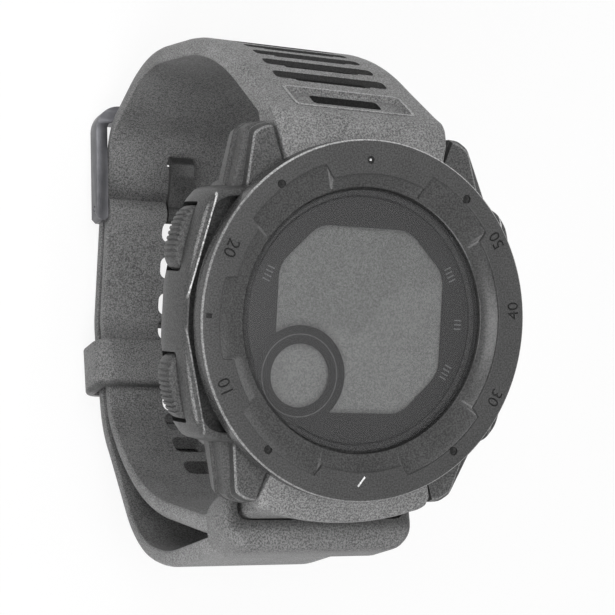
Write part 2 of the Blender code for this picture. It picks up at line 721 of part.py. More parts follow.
def make_back():
    top = -back_top()
    floor = top - (BACK_THICKNESS - BACK_FLOOR)
    bottom = top - BACK_THICKNESS
    boss = bottom - SENSOR_BOSS_RISE
    cover = turned(
        "back_cover",
        [
            (0.0, floor),
            (BACK_LIP_RADIUS, floor),
            (BACK_LIP_RADIUS, top),
            (BACK_RADIUS, top),
            (BACK_RADIUS, bottom + BACK_CHAMFER),
            (BACK_RADIUS - BACK_CHAMFER * 1.4, bottom),
            (SENSOR_BOSS_RADIUS + SENSOR_BOSS_RISE * 1.6, bottom),
            (SENSOR_BOSS_RADIUS, boss),
            (0.0, boss),
        ],
        closed=False,
    )
    for k, (x, y) in enumerate(screw_places()):
        ear = disc("ear_join_%d" % k, SCREW_EAR_RADIUS, top, bottom + SCREW_EAR_STEP, 24)
        ear.location = (x, y, 0.0)
        join(cover, ear)
    for k, (x, y) in enumerate(screw_places()):
        head = -screw_head_bottom() + SCREW_HEAD_HEIGHT + SEAT
        hole = turned(
            "screw_seat_%d" % k,
            [
                (0.0, top + MM),
                (SCREW_SHANK_RADIUS + FIT, top + MM),
                (SCREW_SHANK_RADIUS + FIT, head),
                (SCREW_HEAD_RADIUS + FIT, head),
                (SCREW_HEAD_RADIUS + FIT, bottom - MM),
                (0.0, bottom - MM),
            ],
            SMALL_STEPS,
            closed=False,
        )
        hole.location = (x, y, 0.0)
        cut(cover, hole)
    shelf = boss + SENSOR_WINDOW_THICKNESS - SENSOR_SHELF
    opening = turned(
        "sensor_cut",
        [
            (0.0, floor + MM),
            (SENSOR_WINDOW_RADIUS - SENSOR_SHELF, floor + MM),
            (SENSOR_WINDOW_RADIUS - SENSOR_SHELF, shelf),
            (SENSOR_WINDOW_RADIUS + FIT, shelf),
            (SENSOR_WINDOW_RADIUS + FIT, boss - MM),
            (0.0, boss - MM),
        ],
        closed=False,
        phase=PHASE,
    )
    cut(cover, opening)
    socket = box(
        "socket_cut",
        (SOCKET_LENGTH + 2 * FIT, SOCKET_WIDTH + 2 * FIT, BACK_THICKNESS * 3.0),
        (0.0, SOCKET_Y, bottom),
    )
    cut(cover, socket)
    port = turned(
        "port_cut",
        [
            (0.0, floor + MM),
            (PORT_RADIUS * 0.3, floor + MM),
            (PORT_RADIUS * 0.3, bottom + PORT_THICKNESS + SEAT),
            (PORT_RADIUS + FIT, bottom + PORT_THICKNESS + SEAT),
            (PORT_RADIUS + FIT, bottom - MM),
            (0.0, bottom - MM),
        ],
        SMALL_STEPS,
        closed=False,
    )
    port.location = (PORT_X, 0.0, 0.0)
    cut(cover, port)
    piece(cover, "back_cover", CASE_GREY)

    cap = disc("pressure_port_cover", PORT_RADIUS, bottom + PORT_THICKNESS, bottom, 24)
    cap.location = (PORT_X, 0.0, 0.0)
    piece(cap, "pressure_port_cover", STEEL)
    window_top = shelf - SEAT
    window_bottom = boss - (SENSOR_SHELF - SEAT)
    window = turned(
        "heart_rate_window",
        [
            (0.0, window_top),
            (SENSOR_WINDOW_RADIUS, window_top),
            (SENSOR_WINDOW_RADIUS, window_bottom + 0.35 * MM),
            (SENSOR_WINDOW_RADIUS * 0.85, window_bottom),
            (0.0, window_bottom),
        ],
        32,
        closed=False,
    )
    piece(window, "heart_rate_window", BLACK_GLOSS)
    gasket_half = BACK_GASKET_SIDE / 2.0
    gasket = ring(
        "back_gasket",
        BACK_GASKET_RADIUS - gasket_half,
        BACK_GASKET_RADIUS + gasket_half,
        -CASE_DEPTH + BACK_GASKET_SIDE - SEAT,
        -CASE_DEPTH,
    )
    piece(gasket, "back_gasket", RUBBER)
    for k, (x, y) in enumerate(screw_places()):
        head = -screw_head_bottom()
        screw = turned(
            "case_screw_%d" % (k + 1),
            [
                (0.0, head + SCREW_HEAD_HEIGHT + SCREW_LENGTH),
                (SCREW_SHANK_RADIUS, head + SCREW_HEAD_HEIGHT + SCREW_LENGTH),
                (SCREW_SHANK_RADIUS, head + SCREW_HEAD_HEIGHT),
                (SCREW_HEAD_RADIUS, head + SCREW_HEAD_HEIGHT),
                (SCREW_HEAD_RADIUS, head),
                (0.0, head),
            ],
            SMALL_STEPS,
            closed=False,
        )
        screw.location = (x, y, 0.0)
        drive = slab("drive_cut_%d" % k, [hexagon(SCREW_HEAD_RADIUS * 0.5)], head - MM, head + SCREW_HEAD_HEIGHT * 0.6)
        drive.location = (x, y, 0.0)
        cut(screw, drive)
        piece(screw, "case_screw_%d" % (k + 1), STEEL)
    block = box(
        "charging_socket",
        (SOCKET_LENGTH, SOCKET_WIDTH, SOCKET_HEIGHT),
        (0.0, SOCKET_Y, floor - SOCKET_HEIGHT / 2.0 + 0.4 * MM),
    )
    for k in range(4):
        pin = disc("pin_join_%d" % k, 0.45 * MM, floor, floor - SOCKET_HEIGHT - 0.1 * MM, SMALL_STEPS)
        pin.location = ((k - 1.5) * SOCKET_LENGTH / 4.4, SOCKET_Y, 0.0)
        join(block, pin)
    piece(block, "charging_socket", RUBBER)
    board = disc("heart_rate_board", SENSOR_BOARD_RADIUS, -sensor_board_top(), floor + 2 * SEAT, 32)
    for k, (x, y) in enumerate(((0.0, 0.0), (3.2 * MM, 0.0), (-3.2 * MM, 0.0))):
        led = box(
            "led_join_%d" % k,
            (SENSOR_LED_SIDE, SENSOR_LED_SIDE, SENSOR_LED_HEIGHT + SENSOR_BOARD_THICKNESS / 2.0),
            (x, y, floor - SENSOR_LED_HEIGHT / 2.0 + SENSOR_BOARD_THICKNESS / 4.0),
        )
        join(board, led)
    piece(board, "heart_rate_board", BOARD_GREEN)


def hexagon(radius):
    return [(radius * math.cos(math.radians(60 * k)), radius * math.sin(math.radians(60 * k))) for k in range(6)]


# Electronics inside the case


def arc_outline(inner, outer, start, end, steps):
    angles = [math.radians(start + (end - start) * k / steps) for k in range(steps + 1)]
    outline = [(outer * math.cos(a), outer * math.sin(a)) for a in angles]
    return outline + [(inner * math.cos(a), inner * math.sin(a)) for a in reversed(angles)]


def make_electronics():
    board = disc("main_board", INNER_RADIUS - BOARD_MARGIN, -BOARD_TOP, -BOARD_BOTTOM)
    for k, (x, y, length, width, height) in enumerate(CHIPS):
        chip = box(
            "chip_join_%d" % k,
            (length, width, height + BOARD_THICKNESS / 2.0),
            (x, y, -BOARD_BOTTOM - height / 2.0 + BOARD_THICKNESS / 4.0),
        )
        join(board, chip)
    piece(board, "main_board", BOARD_GREEN)
    battery_top = BOARD_BOTTOM + CHIP_HEIGHT + SEAT * 2
    thickness = sensor_board_top() - BATTERY_GAP - battery_top
    battery = box(
        "battery",
        (BATTERY_LENGTH, BATTERY_WIDTH, thickness),
        (0.0, BATTERY_Y, -battery_top - thickness / 2.0),
        0.6 * MM,
    )
    piece(battery, "battery", SILVER)
    motor = turned(
        "vibration_motor",
        [
            (0.0, -UNDER_BOARD),
            (MOTOR_RADIUS, -UNDER_BOARD),
            (MOTOR_RADIUS, -UNDER_BOARD - MOTOR_HEIGHT + 0.4 * MM),
            (MOTOR_RADIUS - 0.4 * MM, -UNDER_BOARD - MOTOR_HEIGHT),
            (0.0, -UNDER_BOARD - MOTOR_HEIGHT),
        ],
        32,
        closed=False,
    )
    motor.location = (MOTOR_X, MOTOR_Y, 0.0)
    piece(motor, "vibration_motor", SILVER)
    buzzer = box(
        "buzzer",
        (BUZZER_LENGTH, BUZZER_WIDTH, BUZZER_HEIGHT),
        (BUZZER_X, BUZZER_Y, -UNDER_BOARD - BUZZER_HEIGHT / 2.0),
        0.3 * MM,
    )
    piece(buzzer, "buzzer", RUBBER)
    reach = INNER_RADIUS - SEAT * 2
    antenna = slab(
        "gps_antenna",
        [arc_outline(reach - ANTENNA_WIDTH, reach, 90.0 - ANTENNA_SPAN / 2.0, 90.0 + ANTENNA_SPAN / 2.0, 16)],
        -UNDER_BOARD - ANTENNA_HEIGHT,
        -UNDER_BOARD,
    )
    piece(antenna, "gps_antenna", ((0.55, 0.5, 0.42), 0.5))


# Buttons with their clips, seals and switch strips

SHAFT_TIP = CAVITY_RADIUS - 0.95 * MM
CLIP_OUTER = CAVITY_RADIUS - 0.25 * MM
CAP_INNER = BUTTON_REACH - BUTTON_THICKNESS


def cap_outline():
    """A button cap seen from above, its outer face at x = 0."""
    half = BUTTON_LENGTH / 2.0
    outer = [(0.0, half * 0.36), (-BUTTON_END_DROP * 0.3, half * 0.72), (-BUTTON_END_DROP, half)]
    inner = [(-BUTTON_THICKNESS, half), (-BUTTON_THICKNESS, -half)]
    return inner + [(x, -y) for x, y in reversed(outer)] + outer


def make_buttons():
    for name, angle in all_buttons():
        cap = slab("button_" + name, [cap_outline()], -BUTTON_HEIGHT / 2.0, BUTTON_HEIGHT / 2.0)
        rounding = cap.modifiers.new("rounding", "BEVEL")
        rounding.width = BUTTON_ROUNDING
        rounding.segments = 2
        rounding.limit_method = "ANGLE"
        rounding.angle_limit = math.radians(60.0)
        face_sideways(cap, angle, BUTTON_REACH)
        shaft_end = CAP_INNER + BUTTON_THICKNESS / 2.0
        shaft = bar("shaft_" + name, SHAFT_RADIUS, shaft_end - SHAFT_TIP, tip=0.15 * MM)
        turn = math.radians(angle)
        shaft.rotation_euler = (0.0, math.radians(90.0), turn)
        middle = (shaft_end + SHAFT_TIP) / 2.0
        shaft.location = (middle * math.cos(turn), middle * math.sin(turn), -BUTTON_DEPTH)
        join(cap, shaft)
        piece(cap, "button_" + name, BUTTON_GREY)
        for kind, outer, place, width, finish in (
            ("button_clip_", CLIP_RADIUS, CLIP_OUTER - CLIP_THICKNESS / 2.0, CLIP_THICKNESS, STEEL),
            ("button_seal_", SEAL_RADIUS, seal_radius_place(), SEAL_WIDTH, RUBBER),
        ):
            collar = ring(kind + name, SHAFT_RADIUS + SEAT, outer, width / 2.0, -width / 2.0, SMALL_STEPS)
            collar.rotation_euler = (0.0, math.radians(90.0), turn)
            collar.location = (place * math.cos(turn), place * math.sin(turn), -BUTTON_DEPTH)
            piece(collar, kind + name, finish)
    for side, buttons in (("right", RIGHT_BUTTONS), ("left", LEFT_BUTTONS)):
        dome_tip = SHAFT_TIP - BUTTON_TRAVEL - SEAT
        strip_outer = dome_tip - SWITCH_DOME_HEIGHT
        start, end = min(buttons.values()) - 9.0, max(buttons.values()) + 9.0
        strip = slab(
            "switch_strip_" + side,
            [arc_outline(strip_outer - SWITCH_STRIP, strip_outer, start, end, 16)],
            -BUTTON_DEPTH - SWITCH_STRIP_HEIGHT / 2.0,
            -BUTTON_DEPTH + SWITCH_STRIP_HEIGHT / 2.0,
        )
        for name, angle in buttons.items():
            turn = math.radians(angle)
            dome = turned(
                "dome_" + name,
                [
                    (0.0, dome_tip),
                    (SWITCH_DOME_RADIUS * 0.6, dome_tip),
                    (SWITCH_DOME_RADIUS, strip_outer),
                    (SWITCH_DOME_RADIUS, strip_outer - SWITCH_STRIP * 0.6),
                    (0.0, strip_outer - SWITCH_STRIP * 0.6),
                ],
                SMALL_STEPS,
                closed=False,
                phase=PHASE,
            )
            dome.rotation_euler = (0.0, math.radians(90.0), turn)
            dome.location = (0.0, 0.0, -BUTTON_DEPTH)
            join(strip, dome)
        piece(strip, "switch_strip_" + side, ((0.35, 0.22, 0.06), 0.4))


# Straps: each face is a chain of straight lines joined by fillets in the plane across the strap


def heading(angle):
    return Vector((math.cos(math.radians(angle)), math.sin(math.radians(angle))))


def outward(angle, side):
    """Normal that points out of the loop; side is +1 for the strap at 12 o'clock and -1 at 6 o'clock."""
    d = heading(angle)
    return Vector((side * d.y, -side * d.x))


def crossing(first, second):
    """Where two lines meet, each given as a point and a heading."""
    (p, a), (q, b) = first, second
    u, v = heading(a), heading(b)
    t = ((q - p).x * v.y - (q - p).y * v.x) / (u.x * v.y - u.y * v.x)
    return p + u * t


def face_points(lines, radii, side, start_y):
    """Points along one face: its start at a given |Y|, the fillets, and the end of the last line."""
    first, angle = lines[0]
    points = [crossing((first, angle), (Vector((start_y, 0.0)), 90.0))]
    for (before, after), radius in zip(zip(lines, lines[1:]), radii):
        corner = crossing(before, after)
        turn = after[1] - before[1]
        setback = radius * math.tan(math.radians(abs(turn)) / 2.0)
        centre = corner - heading(before[1]) * setback - outward(before[1], side) * radius
        steps = max(2, math.ceil(abs(turn) / ARC_STEP))
        for k in range(steps + 1):
            points.append(centre + outward(before[1] + turn * k / steps, side) * radius)
    return points


def strap_faces(segments, side, end):
    """Outer and inner face points of a strap, from segments of (y, depth, heading, thickness, fillet)."""
    outer_lines = [(Vector((y, depth)), angle) for y, depth, angle, _, _ in segments]
    inner_lines = [
        (Vector((y, depth)) - outward(angle, side) * thickness, angle) for y, depth, angle, thickness, _ in segments
    ]
    outer_radii = [fillet for *_, fillet in segments[1:]]
    inner_radii = [max(fillet - thickness, 0.4 * MM) for *_, thickness, fillet in segments[1:]]
    start_y = side * ROOT_FACE_Y
    outer = face_points(outer_lines, outer_radii, side, start_y)
    inner = face_points(inner_lines, inner_radii, side, start_y)
    for outer_point, inner_point in end:
        outer.append(Vector(outer_point))
        inner.append(Vector(inner_point))
    return outer, inner


def width_along(distance, table):
    for (s0, w0), (s1, w1) in zip(table, table[1:]):
        if distance <= s1:
            return w0 + (w1 - w0) * max(0.0, distance - s0) / (s1 - s0)
    return table[-1][1]


def strap_loft(name, outer, inner, table):
    """Lofts a strap through chamfered rectangles that span its two faces."""
    sections = []
    distance = 0.0
    for k, (a, b) in enumerate(zip(outer, inner)):
        if k:
            distance += ((a + b) / 2.0 - (outer[k - 1] + inner[k - 1]) / 2.0).length
        half = width_along(distance, table)
        across = (a - b).normalized()
        trim = min(STRAP_ROUNDING, (a - b).length * 0.3)
        upper, lower = a - across * trim, b + across * trim
        ring_points = [(half - trim, a), (half, upper), (half, lower), (half - trim, b)]
        ring_points += [(-x, p) for x, p in reversed(ring_points)]
        sections.append([(x, p.x, -p.y) for x, p in ring_points])
    return loft(name, sections)


ROOT_FACE_Y = POCKET_Y + RUN
WIDTHS_AT_LONG_ROOT = [
    (0.0, ROOT_HALF_WIDTH),
    (LUG_END_Y - POCKET_Y, ROOT_HALF_WIDTH + ROOT_FLARE),
    (7.0 * MM, 12.75 * MM),
    (18.0 * MM, 12.5 * MM),
    (40.0 * MM, STRAP_HALF_WIDTH),
]


TAIL_WIDTHS = [  # (distance back from the tip, half width)
    (72.0 * MM, STRAP_HALF_WIDTH),
    (52.0 * MM, TAIL_HALF_WIDTH),
    (6.0 * MM, 10.9 * MM),
    (4.2 * MM, 10.5 * MM),
    (2.6 * MM, 9.6 * MM),
    (1.3 * MM, 8.0 * MM),
    (0.4 * MM, 5.8 * MM),
    (0.0, 4.2 * MM),
]

# The short strap narrows sooner, so that the keeper can slide up to the case
WIDTHS_AT_SHORT_ROOT = [
    (0.0, ROOT_HALF_WIDTH),
    (3.2 * MM, 12.05 * MM),
    (4.0 * MM, 11.9 * MM),
    (4.9 * MM, 11.1 * MM),
    (16.0 * MM, TAIL_HALF_WIDTH),
    (62.0 * MM, TAIL_HALF_WIDTH),
    (78.0 * MM, STRAP_HALF_WIDTH),
]


def short_segments():
    return [
        (ROOT_FACE_Y, ROOT_TOP_DEPTH, 14.0, ROOT_THICKNESS, 0.0),
        (*SHORT_NEAR_CASE, STRAP_THICKNESS, 3.0 * MM),
        (*SHORT_SIDE, STRAP_THICKNESS, 10.0 * MM),
        (*SHORT_SLOPE, STRAP_THICKNESS, 36.0 * MM),
        (*SHORT_NEAR_BUCKLE, STRAP_THICKNESS, 8.0 * MM),
        (*SHORT_FLAT, STRAP_THICKNESS, 6.0 * MM),
    ]


def short_end():
    """The end of the short strap, thickened round the buckle's spring bar and rounded off."""
    y, flat = BUCKLE_BAR_Y, SHORT_FLAT[1]
    steps = ((2.6, 0.0, 2.6), (1.2, 0.1, 3.2), (-0.5, 0.3, 2.95), (-1.3, 0.8, 2.0), (-1.8, 1.3, 1.0))
    return [((y + dy * MM, flat - top * MM), (y + dy * MM, flat - (top + thick) * MM)) for dy, top, thick in steps]


def hole_tool(name, point, angle, side, reach):
    """Cutter for one buckle hole, square to the strap's outer face."""
    shape = slab(name, [round_outline(HOLE_WIDTH / 2.0, HOLE_LENGTH / 2.0, 1.1 * MM, 3)], -reach, reach)
    return lay_on(shape, point, angle, side)


def lay_on(obj, point, angle, side):
    """Lays an object on the strap: its Y along the heading and its Z out of the loop."""
    along, out = heading(angle), outward(angle, side)
    columns = (
        Vector((1.0, 0.0, 0.0)),
        Vector((0.0, along.x, -along.y)),
        Vector((0.0, out.x, -out.y)),
    )
    if side < 0:
        columns = (-columns[0], columns[1], columns[2])
    obj.matrix_world = Matrix.Translation((0.0, point.x, -point.y)) @ Matrix(columns).transposed().to_4x4()
    return obj


def along_face(points, distance):
    """Point and heading at a distance along a face."""
    for first, second in zip(points, points[1:]):
        step = second - first
        if distance <= step.length:
            return first + step.normalized() * distance, math.degrees(math.atan2(step.y, step.x))
        distance -= step.length
    raise ValueError("distance beyond the end of the strap")


def beyond(line, gap):
    """A line of the short strap moved out of the loop by a gap and turned back for the tail above it."""
    y, depth, angle = line
    out = outward(angle, 1)
    return (y + out.x * gap, depth + out.y * gap, angle - 180.0)


def long_segments():
    tail = TAIL_THICKNESS
    over = LAYER_GAP + tail
    return [
        (-ROOT_FACE_Y, ROOT_TOP_DEPTH, 166.0, ROOT_THICKNESS, 0.0),
        (*LONG_NEAR_CASE, STRAP_THICKNESS, 3.0 * MM),
        (*LONG_SIDE, STRAP_THICKNESS, 45.0 * MM),
        (*LONG_CORNER, STRAP_THICKNESS, 24.0 * MM),
        (*TAIL_UNDER_BUCKLE, tail, 8.0 * MM),
        (*beyond(SHORT_FLAT, over), tail, 10.0 * MM),
        (*beyond(SHORT_NEAR_BUCKLE, over), tail, 8.0 * MM),
        (*beyond(SHORT_SLOPE, over + TAIL_LIFT), tail, 15.0 * MM),
        (*TAIL_SIDE, tail, 18.0 * MM),
        (*beyond(SHORT_NEAR_CASE, over), tail, 26.0 * MM),
    ]


def densified(outer, inner, longest=3.2 * MM):
    """Adds evenly spaced points where two neighbours are far apart."""
    new_outer, new_inner = [outer[0]], [inner[0]]
    for k in range(1, len(outer)):
        steps = max(1, math.ceil((outer[k] - outer[k - 1]).length / longest))
        for j in range(1, steps + 1):
            new_outer.append(outer[k - 1].lerp(outer[k], j / steps))
            new_inner.append(inner[k - 1].lerp(inner[k], j / steps))
    return new_outer, new_inner


def middle_length(outer, inner):
    middle = [(a + b) / 2.0 for a, b in zip(outer, inner)]
    return sum((b - a).length for a, b in zip(middle, middle[1:]))


def distance_where(points, test):
    """Distance along a face to the first point that passes a test, found in small steps."""
    distance = 0.0
    while not test(along_face(points, distance)[0]):
        distance += 0.01 * MM
    return distance


def bar_at(name, radius, length, y, depth):
    hole = bar(name, radius, length)
    hole.location = (0.0, y, -depth)
    return hole


def make_straps():
    hole_length = 4.0 * GUARD_HALF_WIDTH
    short_outer, short_inner = strap_faces(short_segments(), 1, short_end())
    short_outer, short_inner = densified(short_outer, short_inner)
    short = strap_loft("short_strap", short_outer, short_inner, WIDTHS_AT_SHORT_ROOT)
    cut(short, bar_at("short_root_hole", LUG_BAR_RADIUS + FIT, hole_length, LUG_BAR_Y, LUG_BAR_DEPTH))
    cut(short, bar_at("buckle_bar_hole", BUCKLE_BAR_RADIUS + FIT, hole_length, BUCKLE_BAR_Y, BUCKLE_BAR_DEPTH))
    notch_start = BUCKLE_BAR_Y + TANG_EYE_RADIUS + RUN
    notch = box(
        "tang_notch",
        (NOTCH_WIDTH, 8.0 * MM, 12.0 * MM),
        (0.0, notch_start - 4.0 * MM, -BUCKLE_BAR_DEPTH),
    )
    cut(short, notch)

    tip = along_tip()
    outer, inner = strap_faces(long_segments(), -1, tip)
    outer, inner = densified(outer, inner)
    length = middle_length(outer, inner)
    widths = WIDTHS_AT_LONG_ROOT + [(length - back, half) for back, half in TAIL_WIDTHS]
    strap = strap_loft("long_strap", outer, inner, widths)
    cut(strap, bar_at("long_root_hole", LUG_BAR_RADIUS + FIT, hole_length, -LUG_BAR_Y, LUG_BAR_DEPTH))
    slot_start = distance_where(outer, lambda point: point.y > SLOT_START_DEPTH)
    for k in range(SLOT_COUNT):
        point, angle = along_face(outer, slot_start + k * SLOT_PITCH)
        half = SLOT_LENGTH / 2.0 if k else SLOT_LENGTH / 2.0 - 1.0 * MM
        outline = round_outline(half, SLOT_WIDTH / 2.0, SLOT_WIDTH / 2.1, 3)
        cut(strap, lay_on(slab("slot_%d" % k, [outline], -5.0 * MM, 2.0 * MM), point, angle, -1))
    hole_start = distance_where(outer, lambda point: point.y > BUCKLE_BAR_DEPTH - STRAP_THICKNESS and point.x > FIRST_HOLE_Y)
    for k in range(HOLES):
        point, angle = along_face(outer, hole_start + k * HOLE_PITCH)
        hole = hole_tool("hole_%d" % k, point, angle, -1, 11.0 * MM if k else 5.0 * MM)
        cut(strap, hole)
        if SHORT_HOLES[0] <= k < SHORT_HOLES[1]:
            cut(short, hole)
    piece(short, "short_strap", STRAP_GREY)
    piece(strap, "long_strap", STRAP_GREY)
    for side, name in ((1, "lug_bar_twelve"), (-1, "lug_bar_six")):
        length = 2.0 * (lug_inner_x(LUG_BAR_Y) + LUG_BAR_SINK - FIT)
        pin = bar(name, LUG_BAR_RADIUS, length, tip=0.15 * MM)
        pin.location = (0.0, side * LUG_BAR_Y, -LUG_BAR_DEPTH)
        piece(pin, name, STEEL)


def along_tip():
    """The last stretch of the long strap's tail, to its rounded tip."""
    y, depth, angle, thickness, _ = long_segments()[-1]
    line = (Vector((y, depth)), angle)
    end = crossing(line, (Vector((0.0, TAIL_TIP_DEPTH)), 0.0))
    stretch = []
    for back in (6.0, 4.2, 2.6, 1.3, 0.4, 0.0):
        point = end - heading(angle) * back * MM
        stretch.append((point, point - outward(angle, -1) * thickness))
    return stretch


# Buckle and keepers


def make_buckle():
    rail_inner = STRAP_HALF_WIDTH + BUCKLE_SIDE_GAP
    rail_outer = rail_inner + BUCKLE_RAIL
    start = -2.0 * MM
    far = BUCKLE_LENGTH + BUCKLE_CROSSBAR / 2.0
    near = BUCKLE_LENGTH - BUCKLE_CROSSBAR / 2.0
    corner = 4.0 * MM
    right = [(rail_inner, start + 0.6 * MM), (rail_inner + 0.6 * MM, start), (rail_outer - 0.6 * MM, start)]
    right.append((rail_outer, start + 0.6 * MM))
    for k in range(7):
        angle = math.radians(15.0 * k)
        right.append((rail_outer - corner + corner * math.cos(angle), far - corner + corner * math.sin(angle)))
    inner = [(rail_inner - 0.9 * MM, near), (rail_inner, near - 0.9 * MM)]
    outline = right + [(-x, y) for x, y in reversed(right)]
    outline += [(-x, y) for x, y in reversed(inner)] + inner
    half = BUCKLE_THICKNESS / 2.0
    frame = slab("buckle_frame", [outline], -half, half)
    rounding = frame.modifiers.new("rounding", "BEVEL")
    rounding.width = BUCKLE_ROUNDING
    rounding.segments = 2
    rounding.limit_method = "ANGLE"
    rounding.angle_limit = math.radians(50.0)
    bar_point = Vector((BUCKLE_BAR_Y, BUCKLE_BAR_DEPTH))
    angle = 180.0 - BUCKLE_SLOPE
    lay_on(frame, bar_point, angle, 1)
    bar_length = 2.0 * (rail_inner + BUCKLE_RAIL * 0.55)
    cut(frame, bar_at("frame_bar_hole", BUCKLE_BAR_RADIUS + BORE_FIT, bar_length + FIT, BUCKLE_BAR_Y, BUCKLE_BAR_DEPTH))
    groove = box("tang_groove", (TANG_WIDTH + 2 * RUN, 8.0 * MM, 4.0 * MM), (0.0, 0.0, 0.0))
    groove_point = bar_point + heading(angle) * BUCKLE_LENGTH
    groove_point += outward(angle, 1) * (half - TANG_GROOVE + 2.0 * MM)
    cut(frame, lay_on(groove, groove_point, angle, 1))
    piece(frame, "buckle_frame", CASE_GREY)

    pin = bar("buckle_spring_bar", BUCKLE_BAR_RADIUS, bar_length - FIT, tip=0.15 * MM)
    pin.location = (0.0, BUCKLE_BAR_Y, -BUCKLE_BAR_DEPTH)
    piece(pin, "buckle_spring_bar", STEEL)

    path = [Vector(point) for point in TANG_PATH]
    upper, lower = [], []
    for k, point in enumerate(path):
        before = (point - path[max(k - 1, 0)]).normalized() if k else (path[1] - point).normalized()
        after = (path[min(k + 1, len(path) - 1)] - point).normalized() if k < len(path) - 1 else before
        along = (before + after).normalized()
        reach = TANG_THICKNESS / 2.0 / max(0.5, along.dot(after))
        across = Vector((-along.y, along.x)) * reach
        upper.append(point + across)
        lower.append(point - across)
    outline = [tuple(p) for p in upper] + [tuple(p) for p in reversed(lower)]
    half = TANG_WIDTH / 2.0
    tang = slab("buckle_tang", [outline], -half, half)
    eye = disc("eye_join", TANG_EYE_RADIUS, half, -half, 24)
    bore = disc("eye_cut", BUCKLE_BAR_RADIUS + BORE_FIT, 2.0 * half, -2.0 * half, SMALL_STEPS)
    across_plane = Matrix(((0.0, 0.0, -1.0), (1.0, 0.0, 0.0), (0.0, -1.0, 0.0))).to_4x4()
    for obj in (tang, eye, bore):
        obj.matrix_world = Matrix.Translation((0.0, BUCKLE_BAR_Y, -BUCKLE_BAR_DEPTH)) @ across_plane
    join(tang, eye)
    cut(tang, bore)
    piece(tang, "buckle_tang", STEEL)


def make_keepers():
    """Bands round both straps. Where an end is closed, it hugs the short strap above the tail's tip."""
    inner_x = STRAP_HALF_WIDTH + KEEPER_SIDE_GAP
    low = -STRAP_THICKNESS - KEEPER_GAP
    over_strap = KEEPER_GAP
    high = LAYER_GAP + TAIL_THICKNESS + KEEPER_GAP
    for name, (y, depth, angle), distance, length, wall, chamfer, closed in KEEPERS:
        outer_x = inner_x + KEEPER_WALL
        outer = [
            (outer_x, high + wall - chamfer),
            (outer_x - chamfer, high + wall),
            (-outer_x + chamfer, high + wall),
            (-outer_x, high + wall - chamfer),
            (-outer_x, low - KEEPER_WALL + chamfer),
            (-outer_x + chamfer, low - KEEPER_WALL),
            (outer_x - chamfer, low - KEEPER_WALL),
            (outer_x, low - KEEPER_WALL + chamfer),
        ]
        half = length / 2.0
        frame = slab(name, [outer], -half, half)
        spaces = [("both_layers", high, -half + closed if closed else -half - MM)]
        if closed:
            spaces.append(("one_layer", over_strap, -half - MM))
        tools = []
        for kind, top, start in spaces:
            space = slab(kind + "_" + name, [rounded_space(inner_x, low, top)], start, half + MM)
            tools.append(space)
        along, out = heading(angle), outward(angle, 1)
        centre = Vector((y, depth)) + along * distance
        columns = (
            Vector((-1.0, 0.0, 0.0)),
            Vector((0.0, out.x, -out.y)),
            Vector((0.0, along.x, -along.y)),
        )
        for obj in (frame, *tools):
            obj.matrix_world = Matrix.Translation((0.0, centre.x, -centre.y)) @ Matrix(columns).transposed().to_4x4()
        cut(frame, *tools)
        piece(frame, name, STRAP_GREY)


def rounded_space(half_x, low, high):
    """A slightly rounded rectangle from low to high."""
    corner = 0.3 * MM
    middle, half = (high + low) / 2.0, (high - low) / 2.0
    return [(x, z + middle) for x, z in mirrored([(half_x, half - corner), (half_x - corner, half)])]


make_bezel()
make_display()
make_mid_case()
make_back()
make_electronics()
make_buttons()
make_straps()
make_buckle()
make_keepers()

# The unit stands on the back of its strap: the middle of its underside goes to the origin
bpy.context.view_layer.update()
graph = bpy.context.evaluated_depsgraph_get()
corners = []
for obj in parts.objects:
    if obj.type == "MESH":
        done = obj.evaluated_get(graph)
        corners += [done.matrix_world @ vertex.co for vertex in done.to_mesh().vertices]
        done.to_mesh_clear()
low = Vector([min(corner[axis] for corner in corners) for axis in range(3)])
high = Vector([max(corner[axis] for corner in corners) for axis in range(3)])
origin.location = (-(low.x + high.x) / 2.0, -(low.y + high.y) / 2.0, -low.z)
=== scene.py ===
import json
import math

import bmesh
import bpy
from mathutils import Matrix, Vector

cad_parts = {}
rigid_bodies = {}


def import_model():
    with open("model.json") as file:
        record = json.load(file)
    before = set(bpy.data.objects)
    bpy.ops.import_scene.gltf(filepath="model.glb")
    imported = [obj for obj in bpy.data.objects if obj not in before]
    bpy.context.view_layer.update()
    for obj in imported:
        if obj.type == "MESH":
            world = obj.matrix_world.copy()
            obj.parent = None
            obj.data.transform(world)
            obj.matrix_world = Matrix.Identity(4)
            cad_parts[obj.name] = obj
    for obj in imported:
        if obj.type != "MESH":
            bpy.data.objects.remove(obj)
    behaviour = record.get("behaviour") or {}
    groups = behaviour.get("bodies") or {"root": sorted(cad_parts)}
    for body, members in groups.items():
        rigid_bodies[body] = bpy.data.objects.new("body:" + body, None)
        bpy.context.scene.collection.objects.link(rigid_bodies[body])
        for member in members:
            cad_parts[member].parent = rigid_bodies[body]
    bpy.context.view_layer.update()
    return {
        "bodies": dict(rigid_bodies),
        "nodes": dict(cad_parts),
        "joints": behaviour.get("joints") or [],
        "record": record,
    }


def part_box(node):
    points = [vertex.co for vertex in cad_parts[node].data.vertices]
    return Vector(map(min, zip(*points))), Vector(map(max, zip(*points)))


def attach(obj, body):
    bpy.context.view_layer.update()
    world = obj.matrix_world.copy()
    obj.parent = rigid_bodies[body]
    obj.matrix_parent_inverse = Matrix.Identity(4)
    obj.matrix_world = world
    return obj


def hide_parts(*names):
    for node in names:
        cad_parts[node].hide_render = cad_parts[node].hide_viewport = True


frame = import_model()
print("frame loaded")

mm = 0.001
lensLow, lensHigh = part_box("lens")
